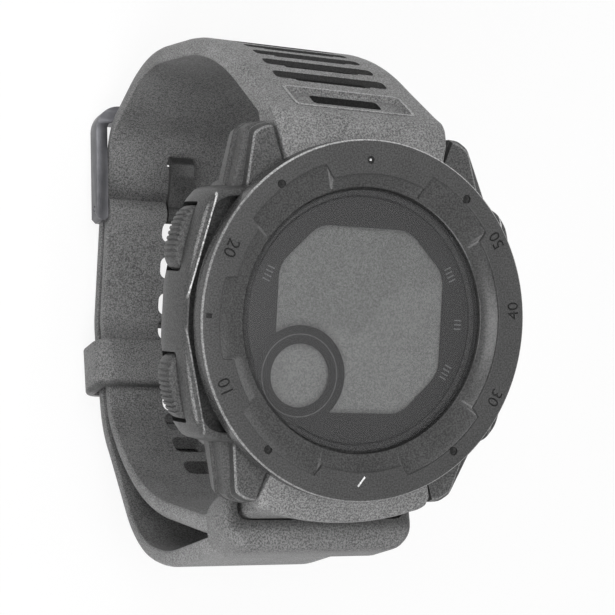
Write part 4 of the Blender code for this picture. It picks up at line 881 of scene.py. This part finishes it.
def makeCase():
    c = caseShape
    top, foot = c["guardTop"], c["depth"]
    insets = (
        (top, c["slope"] + 0.3), (top + 0.08, c["slope"] + 0.1), (top + 0.28, c["slope"]),
        (top + 1, c["slope"] * 0.6), (8.4, 0), (foot - 1.2, 0), (foot - 0.6, 0.2), (foot, 0.75),
    )
    case = stack("case_middle", [(-depth, guardOutline(inset)) for depth, inset in insets])
    paint(case, caseStyle)
    mx, my = c["moatX"], c["guardY"] - 1.6
    quarter = [(mx, 2.4), (mx - 1.1, 6.6), (mx - 2.7, my - 1.0), (mx - 4.4, my), (2.0, my + 0.4)]
    moat = []
    for height, grow in ((-c["moatFloor"], 0), (-top - 0.1, 0), (-top + 0.05, 0.15), (0, 0.15)):
        corners = [(x + grow, y + (grow if x < mx - 3 else 0)) for x, y in quarter]
        moat.append((height, softened(mirrored(corners), 1.4, 4)))
    boolean(case, stack("moatTool", moat))
    for sx in (1, -1):
        for sy in (1, -1):
            boolean(case, lug(sx, sy), "UNION")
    boolean(case, rod("coreTool", c["coreRadius"], -c["coreTop"], -foot, 128), "UNION")
    bore, flange = c["flangeBore"], -c["flangeBottom"]
    wall, ledge, wide = c["cavityRadius"], c["rebate"] - foot, c["rebateRadius"]
    cavity = [
        (0, 0), (bore, 0), (bore, flange), (wall, flange),
        (wall, ledge), (wide, ledge), (wide, -foot - 1), (0, -foot - 1),
    ]
    boolean(case, revolve("cavityTool", cavity, 128, closed=False))
    far = c["pocketY"] + c["pocketReach"]
    for sy in (1, -1):
        outline = [(c["pocketX"], c["pocketY"]), (pocketSide(far), far)]
        outline = [(x, sy * y) for x, y in outline + [(-x, y) for x, y in reversed(outline)]]
        boolean(case, slab("pocketTool%d" % sy, [outline], -foot - 1, -c["coreTop"] + 0.1))
        hole = rod("barTool%d" % sy, c["barRadius"], c["barReach"], -c["barReach"])
        boolean(case, placed(hole, (0, sy * c["barY"], -c["barDepth"]), (0, 90, 0)))
        for sx in (1, -1):
            screw = rod("screwTool%d%d" % (sx, sy), c["screwBore"], -c["screwTip"], -foot - 1, 20)
            boolean(case, placed(screw, (sx * c["screwAt"], sy * c["screwAt"], 0)))
    s = buttonShape
    seat, bore, inner, tip = s["seatRadius"], s["boreRadius"], s["seatInner"], s["boreTip"]
    profile = [(0, 25), (seat, 25), (seat, inner), (bore, inner), (bore, tip), (0, tip)]
    outline = roundOutline(s["pocketLength"] / 2, s["pocketHeight"] / 2, 0.5, 3)
    floor = s["pocketFloor"] - s["reach"]
    for name, angle in buttonAngles.items():
        boolean(case, alongRadius(revolve("bore_" + name, profile, 24, closed=False), angle))
        pocket = slab("pocket_" + name, [[(y, x) for x, y in outline]], floor, floor + 6)
        spot, facing = facet(angle)
        boolean(case, placed(pocket, spot, (0, 90, facing)), style=shadeStyle)
    piece(baked(case, 24), "case", "mid_case")


makeCase()
print("case made")

# Buttons: ridged caps on plain shafts


# A cap's outline from above, with the grooves between its ridges and ends that fall back
def capOutline(half):
    s = buttonShape
    back, pitch, deep = -s["thickness"], s["ridgePitch"], s["ridgeDepth"]
    drops = [(half * 0.36, 0), (half * 0.72, s["endDrop"] * 0.3), (half, s["endDrop"])]
    front = [(-0.5, -half), (-0.15, 0.2 - half), (0, 0.5 - half)]
    ridges = int((s["length"] - 1.2) / pitch)
    for k in range(ridges):
        y = (k - ridges / 2) * pitch
        front += [(-0.02, y + 0.06), (-deep, y + 0.18), (-deep, y + 0.28), (-0.02, y + 0.4)]
        front.append((0, y + pitch - 0.05))
    front += [(0, half - 0.5), (-0.15, half - 0.2), (-0.5, half)]
    return [(back, -half)] + [(x - lookUp(abs(y), drops), y) for x, y in front] + [(back, half)]


def makeButtons():
    s = buttonShape
    half, tall, back = s["length"] / 2, s["height"] / 2, -s["thickness"]
    outline = capOutline(half)
    edge = ((0, 0.62), (0.12, 0.3), (0.4, 0.08), (0.75, 0))
    levels = []
    rims = [(z - tall, inset) for z, inset in edge] + [(tall - z, inset) for z, inset in edge[::-1]]
    for z, inset in rims:
        shrink = 1 - inset * 0.6 / half
        sunk = [(x if x < back + 0.1 else max(x - inset, back + 0.05), y * shrink) for x, y in outline]
        levels.append((z, sunk))
    top, tip, thick = s["reach"] - 1.2, s["shaftTip"], s["shaftRadius"]
    shaft = [(0, top), (thick, top), (thick, tip + 0.15), (thick - 0.15, tip), (0, tip)]
    for name, angle in buttonAngles.items():
        spot, facing = facet(angle)
        cap = placed(stack("ridged_" + name, levels), spot, (0, 0, facing))
        boolean(cap, alongRadius(revolve("shaft_" + name, shaft, 32, closed=False), angle), "UNION")
        baked(cap, 30)
        cap.data.transform(Matrix.Rotation(math.radians(facing), 4, "Z"))
        piece(paint(placed(cap, spot), buttonStyle), "button_%s_body" % name, "button_" + name)


makeButtons()
print("buttons made")

# Straps: each face is a chain of straight lines, as (y, depth, heading), joined by fillets

strapShape = {
    "halfWidth": 11.7,
    "thickness": 2.6,
    "tail": 2.3,
    "rootThickness": 5.4,
    "rootY": 19.3,
    "rootTop": 3.05,
    "layerGap": 0.4,
    "tailLift": 0.2,
    "roundings": ((0, 0.25), (4.3, 0.4), (8.0, 1.4), (400, 1.5)),  # by distance from the case
    "innerRounding": 0.45,
    "arcStep": 2.0,  # degrees
    "sectionStep": 0.8,
    "rootAngle": 14.0,
    "nearCase": (26.3, 12.0, 73.0),
    "side": (29.7, 30.0, 90.0),
    "slope": (22.5, 59.0, 133.0),
    "nearBuckle": (3.0, 68.5, 162.0),
    "flat": (-8.0, 68.5, 180.0),
    "longNearCase": (-29.8, 12.25, 119.6),
    "longSide": (-37.9, 30.0, 90.0),
    "longCorner": (-37.7, 54.1, 56.0),
    "tailUnderBuckle": (-28.0, 68.3, 11.3),
    "tailSide": (36.4, 40.0, -90.0),
    "shortFillets": (0, 3.0, 10.0, 36.0, 8.0, 6.0),
    "longFillets": (0, 3.0, 45.0, 24.0, 8.0, 10.0, 8.0, 15.0, 18.0, 26.0),
    "tipDepth": 13.4,
    "barHole": 0.9,
}
holeShape = {
    "pitch": 5.7,
    "length": 3.4,
    "width": 5.4,
    "corner": 1.1,
    "firstY": -22.9,
    "count": 11,
    "short": (2, 11),  # the ones that the short strap shares
    "tangWidth": 4.0,
    "tangLength": 1.6,
    "blindDepth": 1.2,
}
buckleShape = {
    "barY": -14.4,
    "barDepth": 66.8,
    "barRadius": 0.75,
    "length": 15.1,
    "slope": 11.3,
    "rail": 1.8,
    "crossbar": 2.7,
    "thickness": 2.8,
    "sideGap": 0.2,
    "tangWidth": 3.8,
    "tangThickness": 1.1,
    "eyeRadius": 1.5,
    "tangPath": (
        (-0.5, -0.1), (-3.1, -0.9), (-6.1, -1.2), (-7.8, -1.05), (-8.5, -0.2),
        (-8.5, 2.9), (-9.3, 3.75), (-12.1, 4.0), (-16.0, 4.2),
    ),
}


def heading(angle):
    return Vector((math.cos(math.radians(angle)), math.sin(math.radians(angle))))


# The way out of the loop. side is 1 for the strap at 12 o'clock and -1 at 6 o'clock
def outward(angle, side):
    d = heading(angle)
    return Vector((side * d.y, -side * d.x))


def crossing(first, second):
    (p, a), (q, b) = first, second
    u, v = heading(a), heading(b)
    t = ((q - p).x * v.y - (q - p).y * v.x) / (u.x * v.y - u.y * v.x)
    return p + u * t


def facePoints(lines, radii, side, startY):
    first, angle = lines[0]
    points = [crossing((first, angle), (Vector((startY, 0)), 90.0))]
    for before, after, radius in zip(lines, lines[1:], radii):
        corner = crossing(before, after)
        turn = after[1] - before[1]
        setback = radius * math.tan(math.radians(abs(turn)) / 2)
        centre = corner - heading(before[1]) * setback - outward(before[1], side) * radius
        steps = max(2, math.ceil(abs(turn) / strapShape["arcStep"]))
        for k in range(steps + 1):
            points.append(centre + outward(before[1] + turn * k / steps, side) * radius)
    return points


# Matching points along the outer and the inner face, from the case to the end's pairs of points
def strapFaces(segments, side, end):
    start = side * strapShape["rootY"]
    outerLines, innerLines, outerRadii, innerRadii = [], [], [], []
    for y, depth, angle, thick, fillet in segments:
        outerLines.append((Vector((y, depth)), angle))
        innerLines.append((Vector((y, depth)) - outward(angle, side) * thick, angle))
        outerRadii.append(fillet)
        innerRadii.append(max(fillet - thick, 0.4))
    outer = facePoints(outerLines, outerRadii[1:], side, start)
    inner = facePoints(innerLines, innerRadii[1:], side, start)
    pairs = list(zip(outer, inner)) + [(Vector(a), Vector(b)) for a, b in end]
    finer = [pairs[0]]
    for (a, b), (nextA, nextB) in zip(pairs, pairs[1:]):
        steps = max(1, math.ceil((nextA - a).length / strapShape["sectionStep"]))
        finer += [(a.lerp(nextA, j / steps), b.lerp(nextB, j / steps)) for j in range(1, steps + 1)]
    return [a for a, b in finer], [b for a, b in finer]


# One rounded section between an outer point a and an inner point b, both as (y, depth)
def strapSection(a, b, half, crown, rounding):
    s = strapShape
    thick = (a - b).length
    across = (a - b).normalized()
    r1, r2 = min(rounding, thick * 0.6, half * 0.5), min(s["innerRounding"], thick * 0.3)
    points = []
    for k in range(9):
        x = (half - r1) * (k / 4 - 1)
        points.append((-x, a + across * crown * (1 - (x / half) ** 2)))
    upper, lower = [], []
    for k in range(1, 5):
        t = math.radians(90 * k / 4)
        upper.append((half - r1 + r1 * math.sin(t), a - across * r1 * (1 - math.cos(t))))
    for k in range(4):
        t = math.radians(90 * k / 3)
        lower.append((half - r2 + r2 * math.cos(t), b + across * r2 * (1 - math.sin(t))))
    points += [(-x, p) for x, p in upper + lower]
    points += [((half - r2) * (k / 2 - 1), b) for k in range(1, 4)]
    points += lower[-2::-1] + upper[::-1]
    return [(x, p.x, -p.y) for x, p in points]


def strapLoft(name, outer, inner, widths, crowns):
    sections = []
    distance = 0.0
    for k, (a, b) in enumerate(zip(outer, inner)):
        if k:
            distance += ((a + b) / 2 - (outer[k - 1] + inner[k - 1]) / 2).length
        shape = (lookUp(distance, table) for table in (widths, crowns, strapShape["roundings"]))
        sections.append(strapSection(a, b, *shape))
    return loft(name, sections)


# Lays a piece on the strap: its Y along the heading and its Z out of the loop
def layOn(obj, point, angle, side, lift=0.0):
    along, out = heading(angle), outward(angle, side)
    turn = axes((side, 0, 0), (0, along.x, -along.y), (0, out.x, -out.y))
    spot = point + out * lift
    obj.matrix_world = Matrix.Translation(Vector((0, spot.x, -spot.y)) * mm) @ turn
    return obj


# The point and the heading at a distance along a face
def alongFace(points, distance):
    for first, second in zip(points, points[1:]):
        step = second - first
        if distance <= step.length:
            return first + step.normalized() * distance, math.degrees(math.atan2(step.y, step.x))
        distance -= step.length
    return points[-1], 0.0


def distanceWhere(points, test):
    distance = 0.0
    while not test(alongFace(points, distance)[0]):
        distance += 0.01
    return distance


# The line that lies outside another by a gap and runs the other way, as the tail does on the short strap
def beyond(line, gap):
    y, depth, angle = line
    out = outward(angle, 1)
    return (y + out.x * gap, depth + out.y * gap, angle - 180)


# The lines of a strap's outer face, each with its thickness and the fillet before it
def shortSegments():
    s = strapShape
    lines = [(s["rootY"], s["rootTop"], s["rootAngle"])]
    lines += [s[name] for name in ("nearCase", "side", "slope", "nearBuckle", "flat")]
    thicks = [s["rootThickness"]] + [s["thickness"]] * 5
    return [(*line, thick, fillet) for line, thick, fillet in zip(lines, thicks, s["shortFillets"])]


def longSegments():
    s = strapShape
    over = s["layerGap"] + s["tail"]
    lines = [(-s["rootY"], s["rootTop"], 180 - s["rootAngle"])]
    lines += [s[name] for name in ("longNearCase", "longSide", "longCorner", "tailUnderBuckle")]
    lines += [beyond(s["flat"], over), beyond(s["nearBuckle"], over)]
    lines += [beyond(s["slope"], over + s["tailLift"]), s["tailSide"], beyond(s["nearCase"], over)]
    thicks = [s["rootThickness"]] + [s["thickness"]] * 3 + [s["tail"]] * 6
    return [(*line, thick, fillet) for line, thick, fillet in zip(lines, thicks, s["longFillets"])]


# The buckle end, thickened round the spring bar and rounded off
def shortEnd():
    y, flat = buckleShape["barY"], strapShape["flat"][1]
    steps = ((2.6, 0, 2.6), (1.2, 0.1, 3.2), (-0.5, 0.3, 2.95), (-1.3, 0.8, 2.0), (-1.8, 1.3, 1.0))
    return [((y + dy, flat - top), (y + dy, flat - top - thick)) for dy, top, thick in steps]


def tailTip():
    y, depth, angle, thick = longSegments()[-1][:4]
    end = crossing((Vector((y, depth)), angle), (Vector((0, strapShape["tipDepth"])), 0.0))
    stretch = []
    for back in (6.0, 4.2, 2.6, 1.3, 0.4, 0.0):
        point = end - heading(angle) * back
        stretch.append((point, point - outward(angle, -1) * thick))
    return stretch


# Half widths and crowns by distance from the case, and the tail's half widths by distance from its tip
shortWidths = [(0, 10.9), (3.2, 12.05), (4.0, 11.9), (4.9, 11.1), (16, 11.2), (62, 11.2), (78, 11.7)]
shortCrowns = [(0, 0), (2.0, 0.1), (4.5, 0.5), (7.0, 0.3), (9.0, 0), (400, 0)]
longWidths = [(0, 10.9), (4.3, 12.0), (7, 12.25), (18, 12.3), (40, 11.7)]
longCrowns = [(0, 0), (400, 0)]
tailWidths = [
    (72.0, 11.7), (52.0, 11.2), (6.0, 10.9), (4.2, 10.5), (2.6, 9.6), (1.3, 8.0), (0.4, 5.8), (0, 4.2),
]
lipShape = {
    "start": 1.2,
    "side": 4.7,
    "middle": 6.7,
    "corner": 1.7,
    "halfStart": 10.7,
    "half": 12.0,
    "thickness": 1.3,
    "edge": 0.4,
}

# Each row is a recess with a deep slot in its far part, as distances along the strap and half widths
ladderShape = {
    "rows": (
        (8.9, 13.5, 7.9, 10.8, 13.1, 4.9), (16.9, 18.6, 7.9, 16.2, 18.5, 5.5),
        (21.2, 22.8, 7.8, 20.5, 22.7, 5.5), (25.3, 26.8, 7.6, 24.6, 26.7, 5.4),
        (29.2, 30.7, 7.4, 28.5, 30.6, 5.3), (33.0, 34.5, 7.2, 32.4, 34.4, 5.2),
    ),
    "depth": 0.6,
    "rim": 0.35,
    "rimLift": 0.1,
    "slotDepth": 2.0,
}


def barTool(name, y, depth, radius, reach):
    return placed(rod(name, radius, reach, -reach, 32), (0, y, -depth), (0, 90, 0))


# Cutter with sloping walls between two edges across the strap
def recess(name, near, far, half, depth, top=3.0):
    levels = []
    for z, grow in ((top, 0.3), (0.02, 0.28), (-depth, 0.0)):
        x, first, last = half + grow, near - grow, far + grow
        levels.append((z, softened([(-x, first), (x, first), (x, last), (-x, last)], 0.8, 3)))
    return stack(name, levels)


# The root's bowed lower lip, as a plate that carries on its top face
def rootLip():
    p = lipShape
    edge = p["edge"]
    levels = []
    foot = -p["thickness"]
    for z, inset in ((foot, edge), (foot + edge, 0.05), (-edge, 0.0), (0.03, edge * 0.8)):
        half = p["half"] - inset
        outline = [(p["halfStart"] - inset, p["start"])]
        for k in range(25):
            x = 1 - k / 12
            bow = (p["middle"] - p["side"]) * x * x + p["corner"] * x ** 12
            outline.append((half * x, p["middle"] - inset - bow))
        outline.append((inset - p["halfStart"], p["start"]))
        levels.append((z, outline))
    root = Vector((strapShape["rootY"], strapShape["rootTop"]))
    return layOn(stack("rootLip", levels), root, strapShape["rootAngle"], 1)


# A hole for a spring bar, right across the strap
def boreFor(strap, name, y, depth):
    boolean(strap, barTool(name, y, depth, strapShape["barHole"], 60))


def makeShortStrap():
    b, c = buckleShape, caseShape
    outer, inner = strapFaces(shortSegments(), 1, shortEnd())
    short = paint(strapLoft("strap_short", outer, inner, shortWidths, shortCrowns), strapStyle)
    boolean(short, rootLip(), "UNION")
    boreFor(short, "shortRootTool", c["barY"], c["barDepth"])
    boreFor(short, "buckleBarTool", b["barY"], b["barDepth"])
    notch = box("notchTool", (b["tangWidth"] + 0.8, 8.0, 12.0))
    boolean(short, placed(notch, (0, b["barY"] - 2.2, -b["barDepth"])))
    return short


# Recesses with a deep slot each. Only the first has a raised rim, coloured light as a painted highlight,
# and a floor as light as the strap; the other recesses and all slots get the painted shade of the cuts
def cutLadder(strap, outer):
    ladder = ladderShape
    for k, (near, far, half, slotNear, slotFar, slotHalf) in enumerate(ladder["rows"]):
        point, angle = alongFace(outer, (near + far) / 2)
        if k == 0:
            grown = (far - near) / 2 + ladder["rim"]
            rim = recess("recessRim", -grown, grown, half + ladder["rim"], 0.3, ladder["rimLift"])
            boolean(strap, layOn(rim, point, angle, -1), "UNION", rimHighlightStyle)
        tool = recess("recess%d" % k, (near - far) / 2, (far - near) / 2, half, ladder["depth"])
        boolean(strap, layOn(tool, point, angle, -1), style=shadeStyle if k else None)
        point, angle = alongFace(outer, (slotNear + slotFar) / 2)
        outline = roundOutline(slotHalf, (slotFar - slotNear) / 2, 0.5, 3)
        slot = slab("slot%d" % k, [outline], -ladder["slotDepth"], 2.0)
        boolean(strap, layOn(slot, point, angle, -1), style=shadeStyle)


# The row of holes starts under the buckle with the tang's own. Some go on through the short strap
def cutHoles(strap, short, outer):
    h = holeShape
    level = buckleShape["barDepth"] - strapShape["thickness"]
    first = distanceWhere(outer, lambda point: point.y > level and point.x > h["firstY"])
    for k in range(h["count"]):
        point, angle = alongFace(outer, first + k * h["pitch"])
        wide, tall, reach, floor = h["width"], h["length"], 11.0, 11.0
        if k == 0:
            wide, tall, reach, floor = h["tangWidth"], h["tangLength"], 5.0, 5.0
        if k == 1:
            floor = h["blindDepth"]
        outline = roundOutline(wide / 2, tall / 2, min(h["corner"], tall * 0.4), 4)
        hole = layOn(slab("hole%d" % k, [outline], -floor, reach), point, angle, -1)
        boolean(strap, hole, style=shadeStyle if k < 2 else None)
        if h["short"][0] <= k < h["short"][1]:
            boolean(short, hole)


def makeStraps():
    short = makeShortStrap()
    outer, inner = strapFaces(longSegments(), -1, tailTip())
    middle = [(p + q) / 2 for p, q in zip(outer, inner)]
    length = sum((q - p).length for p, q in zip(middle, middle[1:]))
    widths = longWidths + [(length - back, half) for back, half in tailWidths]
    strap = paint(strapLoft("strap_long", outer, inner, widths, longCrowns), strapStyle)
    boreFor(strap, "longRootTool", -caseShape["barY"], caseShape["barDepth"])
    cutLadder(strap, outer)
    cutHoles(strap, short, outer)
    shared = [change.object for change in strap.modifiers if change.type == "BOOLEAN"]
    piece(baked(short, 40, shared), "case", "short_strap")
    piece(baked(strap, 40), "case", "long_strap")


makeStraps()
print("straps made")

# Keepers: a loose band round both straps near the buckle, and one near the case

keeperShape = {
    "gap": 0.25,
    "wall": 1.5,
    "length": 7.3,
    "topWall": 1.5,
    "corner": 1.6,
    "closed": 0,  # how thick the end towards the case is, where it is closed above the short strap
    "line": "nearBuckle",
    "along": -7.4,
}
caseKeeperShape = {
    "gap": 0.25,
    "wall": 1.5,
    "length": 7.0,
    "topWall": 1.2,
    "corner": 2.2,
    "closed": 1.5,
    "line": "nearCase",
    "along": 1.57,
}


def makeKeeper(name, own):
    s = strapShape
    innerX = s["halfWidth"] + own["gap"]
    low, high = -s["thickness"] - own["gap"], s["layerGap"] + s["tail"] + own["gap"]
    x, top, bottom, c = innerX + own["wall"], high + own["topWall"], low - own["wall"], own["corner"]

    def outline(inset):
        right = [(c - x, bottom + inset), (x - c, bottom + inset), (x - inset, bottom + c)]
        points = [
            (x - inset, top - c), (x - c, top - inset), (c - x, top - inset), (inset - x, top - c),
            (inset - x, bottom + c), *right,
        ]
        return softened(points, 1.5, 4)

    half = own["length"] / 2
    if own["closed"]:
        start = ((0, 1.3), (0.12, 0.9), (0.4, 0.5), (0.8, 0.2), (1.35, 0.0))
    else:
        start = ((0, 0.4), (0.1, 0.16), (0.35, 0.0))
    insets = [(z - half, inset) for z, inset in start]
    insets += [(half - 0.35, 0.0), (half - 0.1, 0.16), (half, 0.4)]
    keeper = stack("band_" + name, [(z, outline(inset)) for z, inset in insets])
    spaces = [(high, own["closed"] - half if own["closed"] else -half - 1, 0.3)]
    if own["closed"]:
        spaces.append((own["gap"], -half - 1, 1.5))
    for n, (ceiling, start, corner) in enumerate(spaces):
        space = softened([(innerX, low), (innerX, ceiling), (-innerX, ceiling), (-innerX, low)], corner, 4)
        boolean(keeper, slab("space%d_%s" % (n, name), [space], start, half + 1))
    baked(keeper, 32)
    y, depth, angle = s[own["line"]]
    along, out = heading(angle), outward(angle, 1)
    spot = Vector((y, depth)) + along * own["along"]
    turn = axes((-1, 0, 0), (0, out.x, -out.y), (0, along.x, -along.y))
    keeper.matrix_world = Matrix.Translation(Vector((0, spot.x, -spot.y)) * mm) @ turn
    piece(paint(keeper, keeperStyle), name + "_body", name)


makeKeeper("keeper_near_buckle", keeperShape)
makeKeeper("keeper_near_case", caseKeeperShape)
print("keepers made")

# Buckle: rounded frame and bent tang on the spring bar


def makeFrame():
    b = buckleShape
    inner = strapShape["halfWidth"] + b["sideGap"]
    outer = inner + b["rail"]
    far, near, corner = b["length"] + b["crossbar"] / 2, b["length"] - b["crossbar"] / 2, 4.0
    right = [(inner, -1.4), (inner + 0.6, -2.0), (outer - 0.6, -2.0), (outer, -1.4)]
    for k in range(13):
        t = math.radians(7.5 * k)
        right.append((outer - corner + corner * math.cos(t), far - corner + corner * math.sin(t)))
    hollow = [(inner - 0.9, near), (inner - 0.25, near - 0.25), (inner, near - 0.9)]
    outline = right + [(-x, y) for x, y in reversed(right)]
    outline += [(-x, y) for x, y in reversed(hollow)] + hollow
    half = b["thickness"] / 2
    frame = slab("frame_rails", [outline], -half, half)
    bevel(frame, 0.75 * mm, 4, 50)
    bar = Vector((b["barY"], b["barDepth"]))
    angle = 180 - b["slope"]
    layOn(frame, bar, angle, 1)
    reach = inner + b["rail"] * 0.55 + 0.075
    boolean(frame, barTool("frameBarTool", b["barY"], b["barDepth"], b["barRadius"] + 0.1, reach))
    for side in (1, -1):
        pin = revolve("pinTool%d" % side, [(0, 1), (0.5, 1), (0.5, -0.25), (0, -0.35)], 20, closed=False)
        boolean(frame, placed(pin, (side * outer, b["barY"], -b["barDepth"]), (0, side * 90, 0)))
    groove = box("grooveTool", (b["tangWidth"] + 0.6, 8.0, 4.0))
    spot = bar + heading(angle) * b["length"]
    boolean(frame, layOn(groove, spot, angle, 1, half + 0.9))
    piece(paint(baked(frame, 32), buckleStyle), "buckle_frame_body", "buckle_frame")


def makeTang():
    b = buckleShape
    path = [Vector(point) for point in b["tangPath"]]
    upper, lower = [], []
    headings = [(after - before).normalized() for before, after in zip(path, path[1:])]
    for point, behind, ahead in zip(path, headings[:1] + headings, headings + headings[-1:]):
        along = (ahead + behind).normalized()
        reach = b["tangThickness"] / 2 / max(0.5, along.dot(ahead))
        side = Vector((-along.y, along.x)) * reach
        upper.append(point + side)
        lower.append(point - side)
    outline = softened([tuple(p) for p in upper] + [tuple(p) for p in reversed(lower)], 0.35, 2)
    width = b["tangWidth"] / 2
    tang = slab("tang_tongue", [outline], -width, width)
    boolean(tang, rod("eyeTool", b["eyeRadius"], width, -width, 32), "UNION")
    boolean(tang, rod("eyeBore", b["barRadius"] + 0.1, 5, -5))
    bevel(tang, 0.2 * mm, 2, 40)
    baked(tang, 32)
    plane = Matrix(((0, 0, -1), (1, 0, 0), (0, -1, 0))).to_4x4()
    tang.matrix_world = Matrix.Translation(Vector((0, b["barY"], -b["barDepth"])) * mm) @ plane
    piece(paint(tang, tangStyle), "buckle_tang_body", "buckle_tang")


makeFrame()
makeTang()
print("buckle made")

# The CAD's own pieces that show little or stay inside keep their shape and get a finish

finishes = (
    (coverStyle, "back_cover"),
    (gasketStyle, "lens_gasket"),
    (sealStyle, "back_gasket"),
    (ringStyle, "sub_window_ring"),
    (panelStyle, "display_panel"),
    (darkStyle, "display_carrier", "charging_socket", "buzzer"),
    (windowStyle, "heart_rate_window"),
    (meshStyle, "pressure_port_cover"),
    (boardStyle, "main_board", "heart_rate_board"),
    (foilStyle, "battery"),
    (ceramicStyle, "gps_antenna"),
    (steelStyle, "vibration_motor", "lug_bar_six", "lug_bar_twelve", "buckle_spring_bar"),
    (steelStyle, *("case_screw_%d" % k for k in range(1, 5))),
    (filmStyle, "switch_strip_left", "switch_strip_right"),
    (steelStyle, *("button_clip_" + name for name in buttonAngles)),
    (sealStyle, *("button_seal_" + name for name in buttonAngles)),
)
for style, *names in finishes:
    for name in names:
        paint(bpy.data.objects[name], style)
print("inner pieces finished")

# Floor, light and camera

# The floor and the surroundings are white to the camera, in reflections and through panes. For other
# light the floor is plain paint, and the surroundings give very little
roomShape = {
    "floorHalf": 1500,
    "floorTone": (0.92, 0.92, 0.92),
    "floorGlow": 0.85,  # the rest shows the paint, and so the shadow
    "ambient": 0.02,
}


def seenRays(g):
    rays = g.node("ShaderNodeLightPath").outputs
    seen = Field(g, rays["Is Camera Ray"])
    for kind in ("Is Glossy Ray", "Is Transmission Ray"):
        seen = seen.do("MAXIMUM", Field(g, rays[kind]))
    return seen


def makeRoom():
    r = roomShape
    half = r["floorHalf"]
    g = Graph("floorPaint")
    g.finish(Base_Color=r["floorTone"], Roughness=0.9)
    glow = g.node("ShaderNodeEmission", Color=(1.0, 1.0, 1.0), Strength=1.0)
    paintShader, glowShader = Field(g, g.shader.outputs[0]), Field(g, glow.outputs[0])
    blend = g.node("ShaderNodeMixShader", seenRays(g) * r["floorGlow"], paintShader, glowShader)
    g.set(g.tree.nodes["Material Output"].inputs["Surface"], Field(g, blend.outputs[0]))
    floor = paint(slab("floor", [roundOutline(half, half, 10)], -1, 0), g.owner)
    scene.world = bpy.data.worlds.new("surroundings")
    g = Graph("surroundings", scene.world)
    g.finish(Color=(1.0, 1.0, 1.0), Strength=seenRays(g) * (1.0 - r["ambient"]) + r["ambient"])


makeRoom()


# A soft rectangular light, placed in mm from the dial's centre
def panel(name, where, target, size, power):
    data = bpy.data.lights.new(name, "AREA")
    data.shape = "RECTANGLE"
    data.size, data.size_y = (side * mm for side in size)
    data.energy = power
    obj = newObject(name, data)
    obj.location = dial + Vector(where) * mm
    aim = Vector(target) - Vector(where)
    obj.rotation_euler = aim.to_track_quat("-Z", "Y").to_euler()


# Place, aim, size and power
panel("topPanel", (100, -230, 290), (0, 0, -20), (300, 240), 0.8)
panel("lowPanel", (110, 270, 210), (0, 0, -20), (260, 200), 0.88)
panel("sidePanel", (330, 0, 130), (0, 0, -30), (220, 260), 0.42)
panel("frontPanel", (80, 0, 320), (0, 0, -20), (110, 170), 0.42)
panel("farPanel", (-300, -110, 110), (0, 0, -20), (200, 200), 0.26)

cameraShape = {
    "lens": 101.74,
    "sensor": 36.0,
    "place": (100.9, -2.7, 189.8),  # mm from the dial's centre
    "right": (-0.8984, -0.0521, 0.4361),
    "back": (0.4370, -0.0066, 0.8995),
}
cameraData = bpy.data.cameras.new("camera")
cameraData.lens = cameraShape["lens"]
cameraData.sensor_width = cameraShape["sensor"]
cameraData.clip_start = 0.01
camera = newObject("camera", cameraData)
right = Vector(cameraShape["right"]).normalized()
back = Vector(cameraShape["back"])
back = (back - right * back.dot(right)).normalized()
up = back.cross(right)
camera.matrix_world = Matrix.Translation(dial + Vector(cameraShape["place"]) * mm) @ axes(right, up, back)
scene.camera = camera
scene.view_settings.view_transform = "Standard"
print("room, lights and camera made")
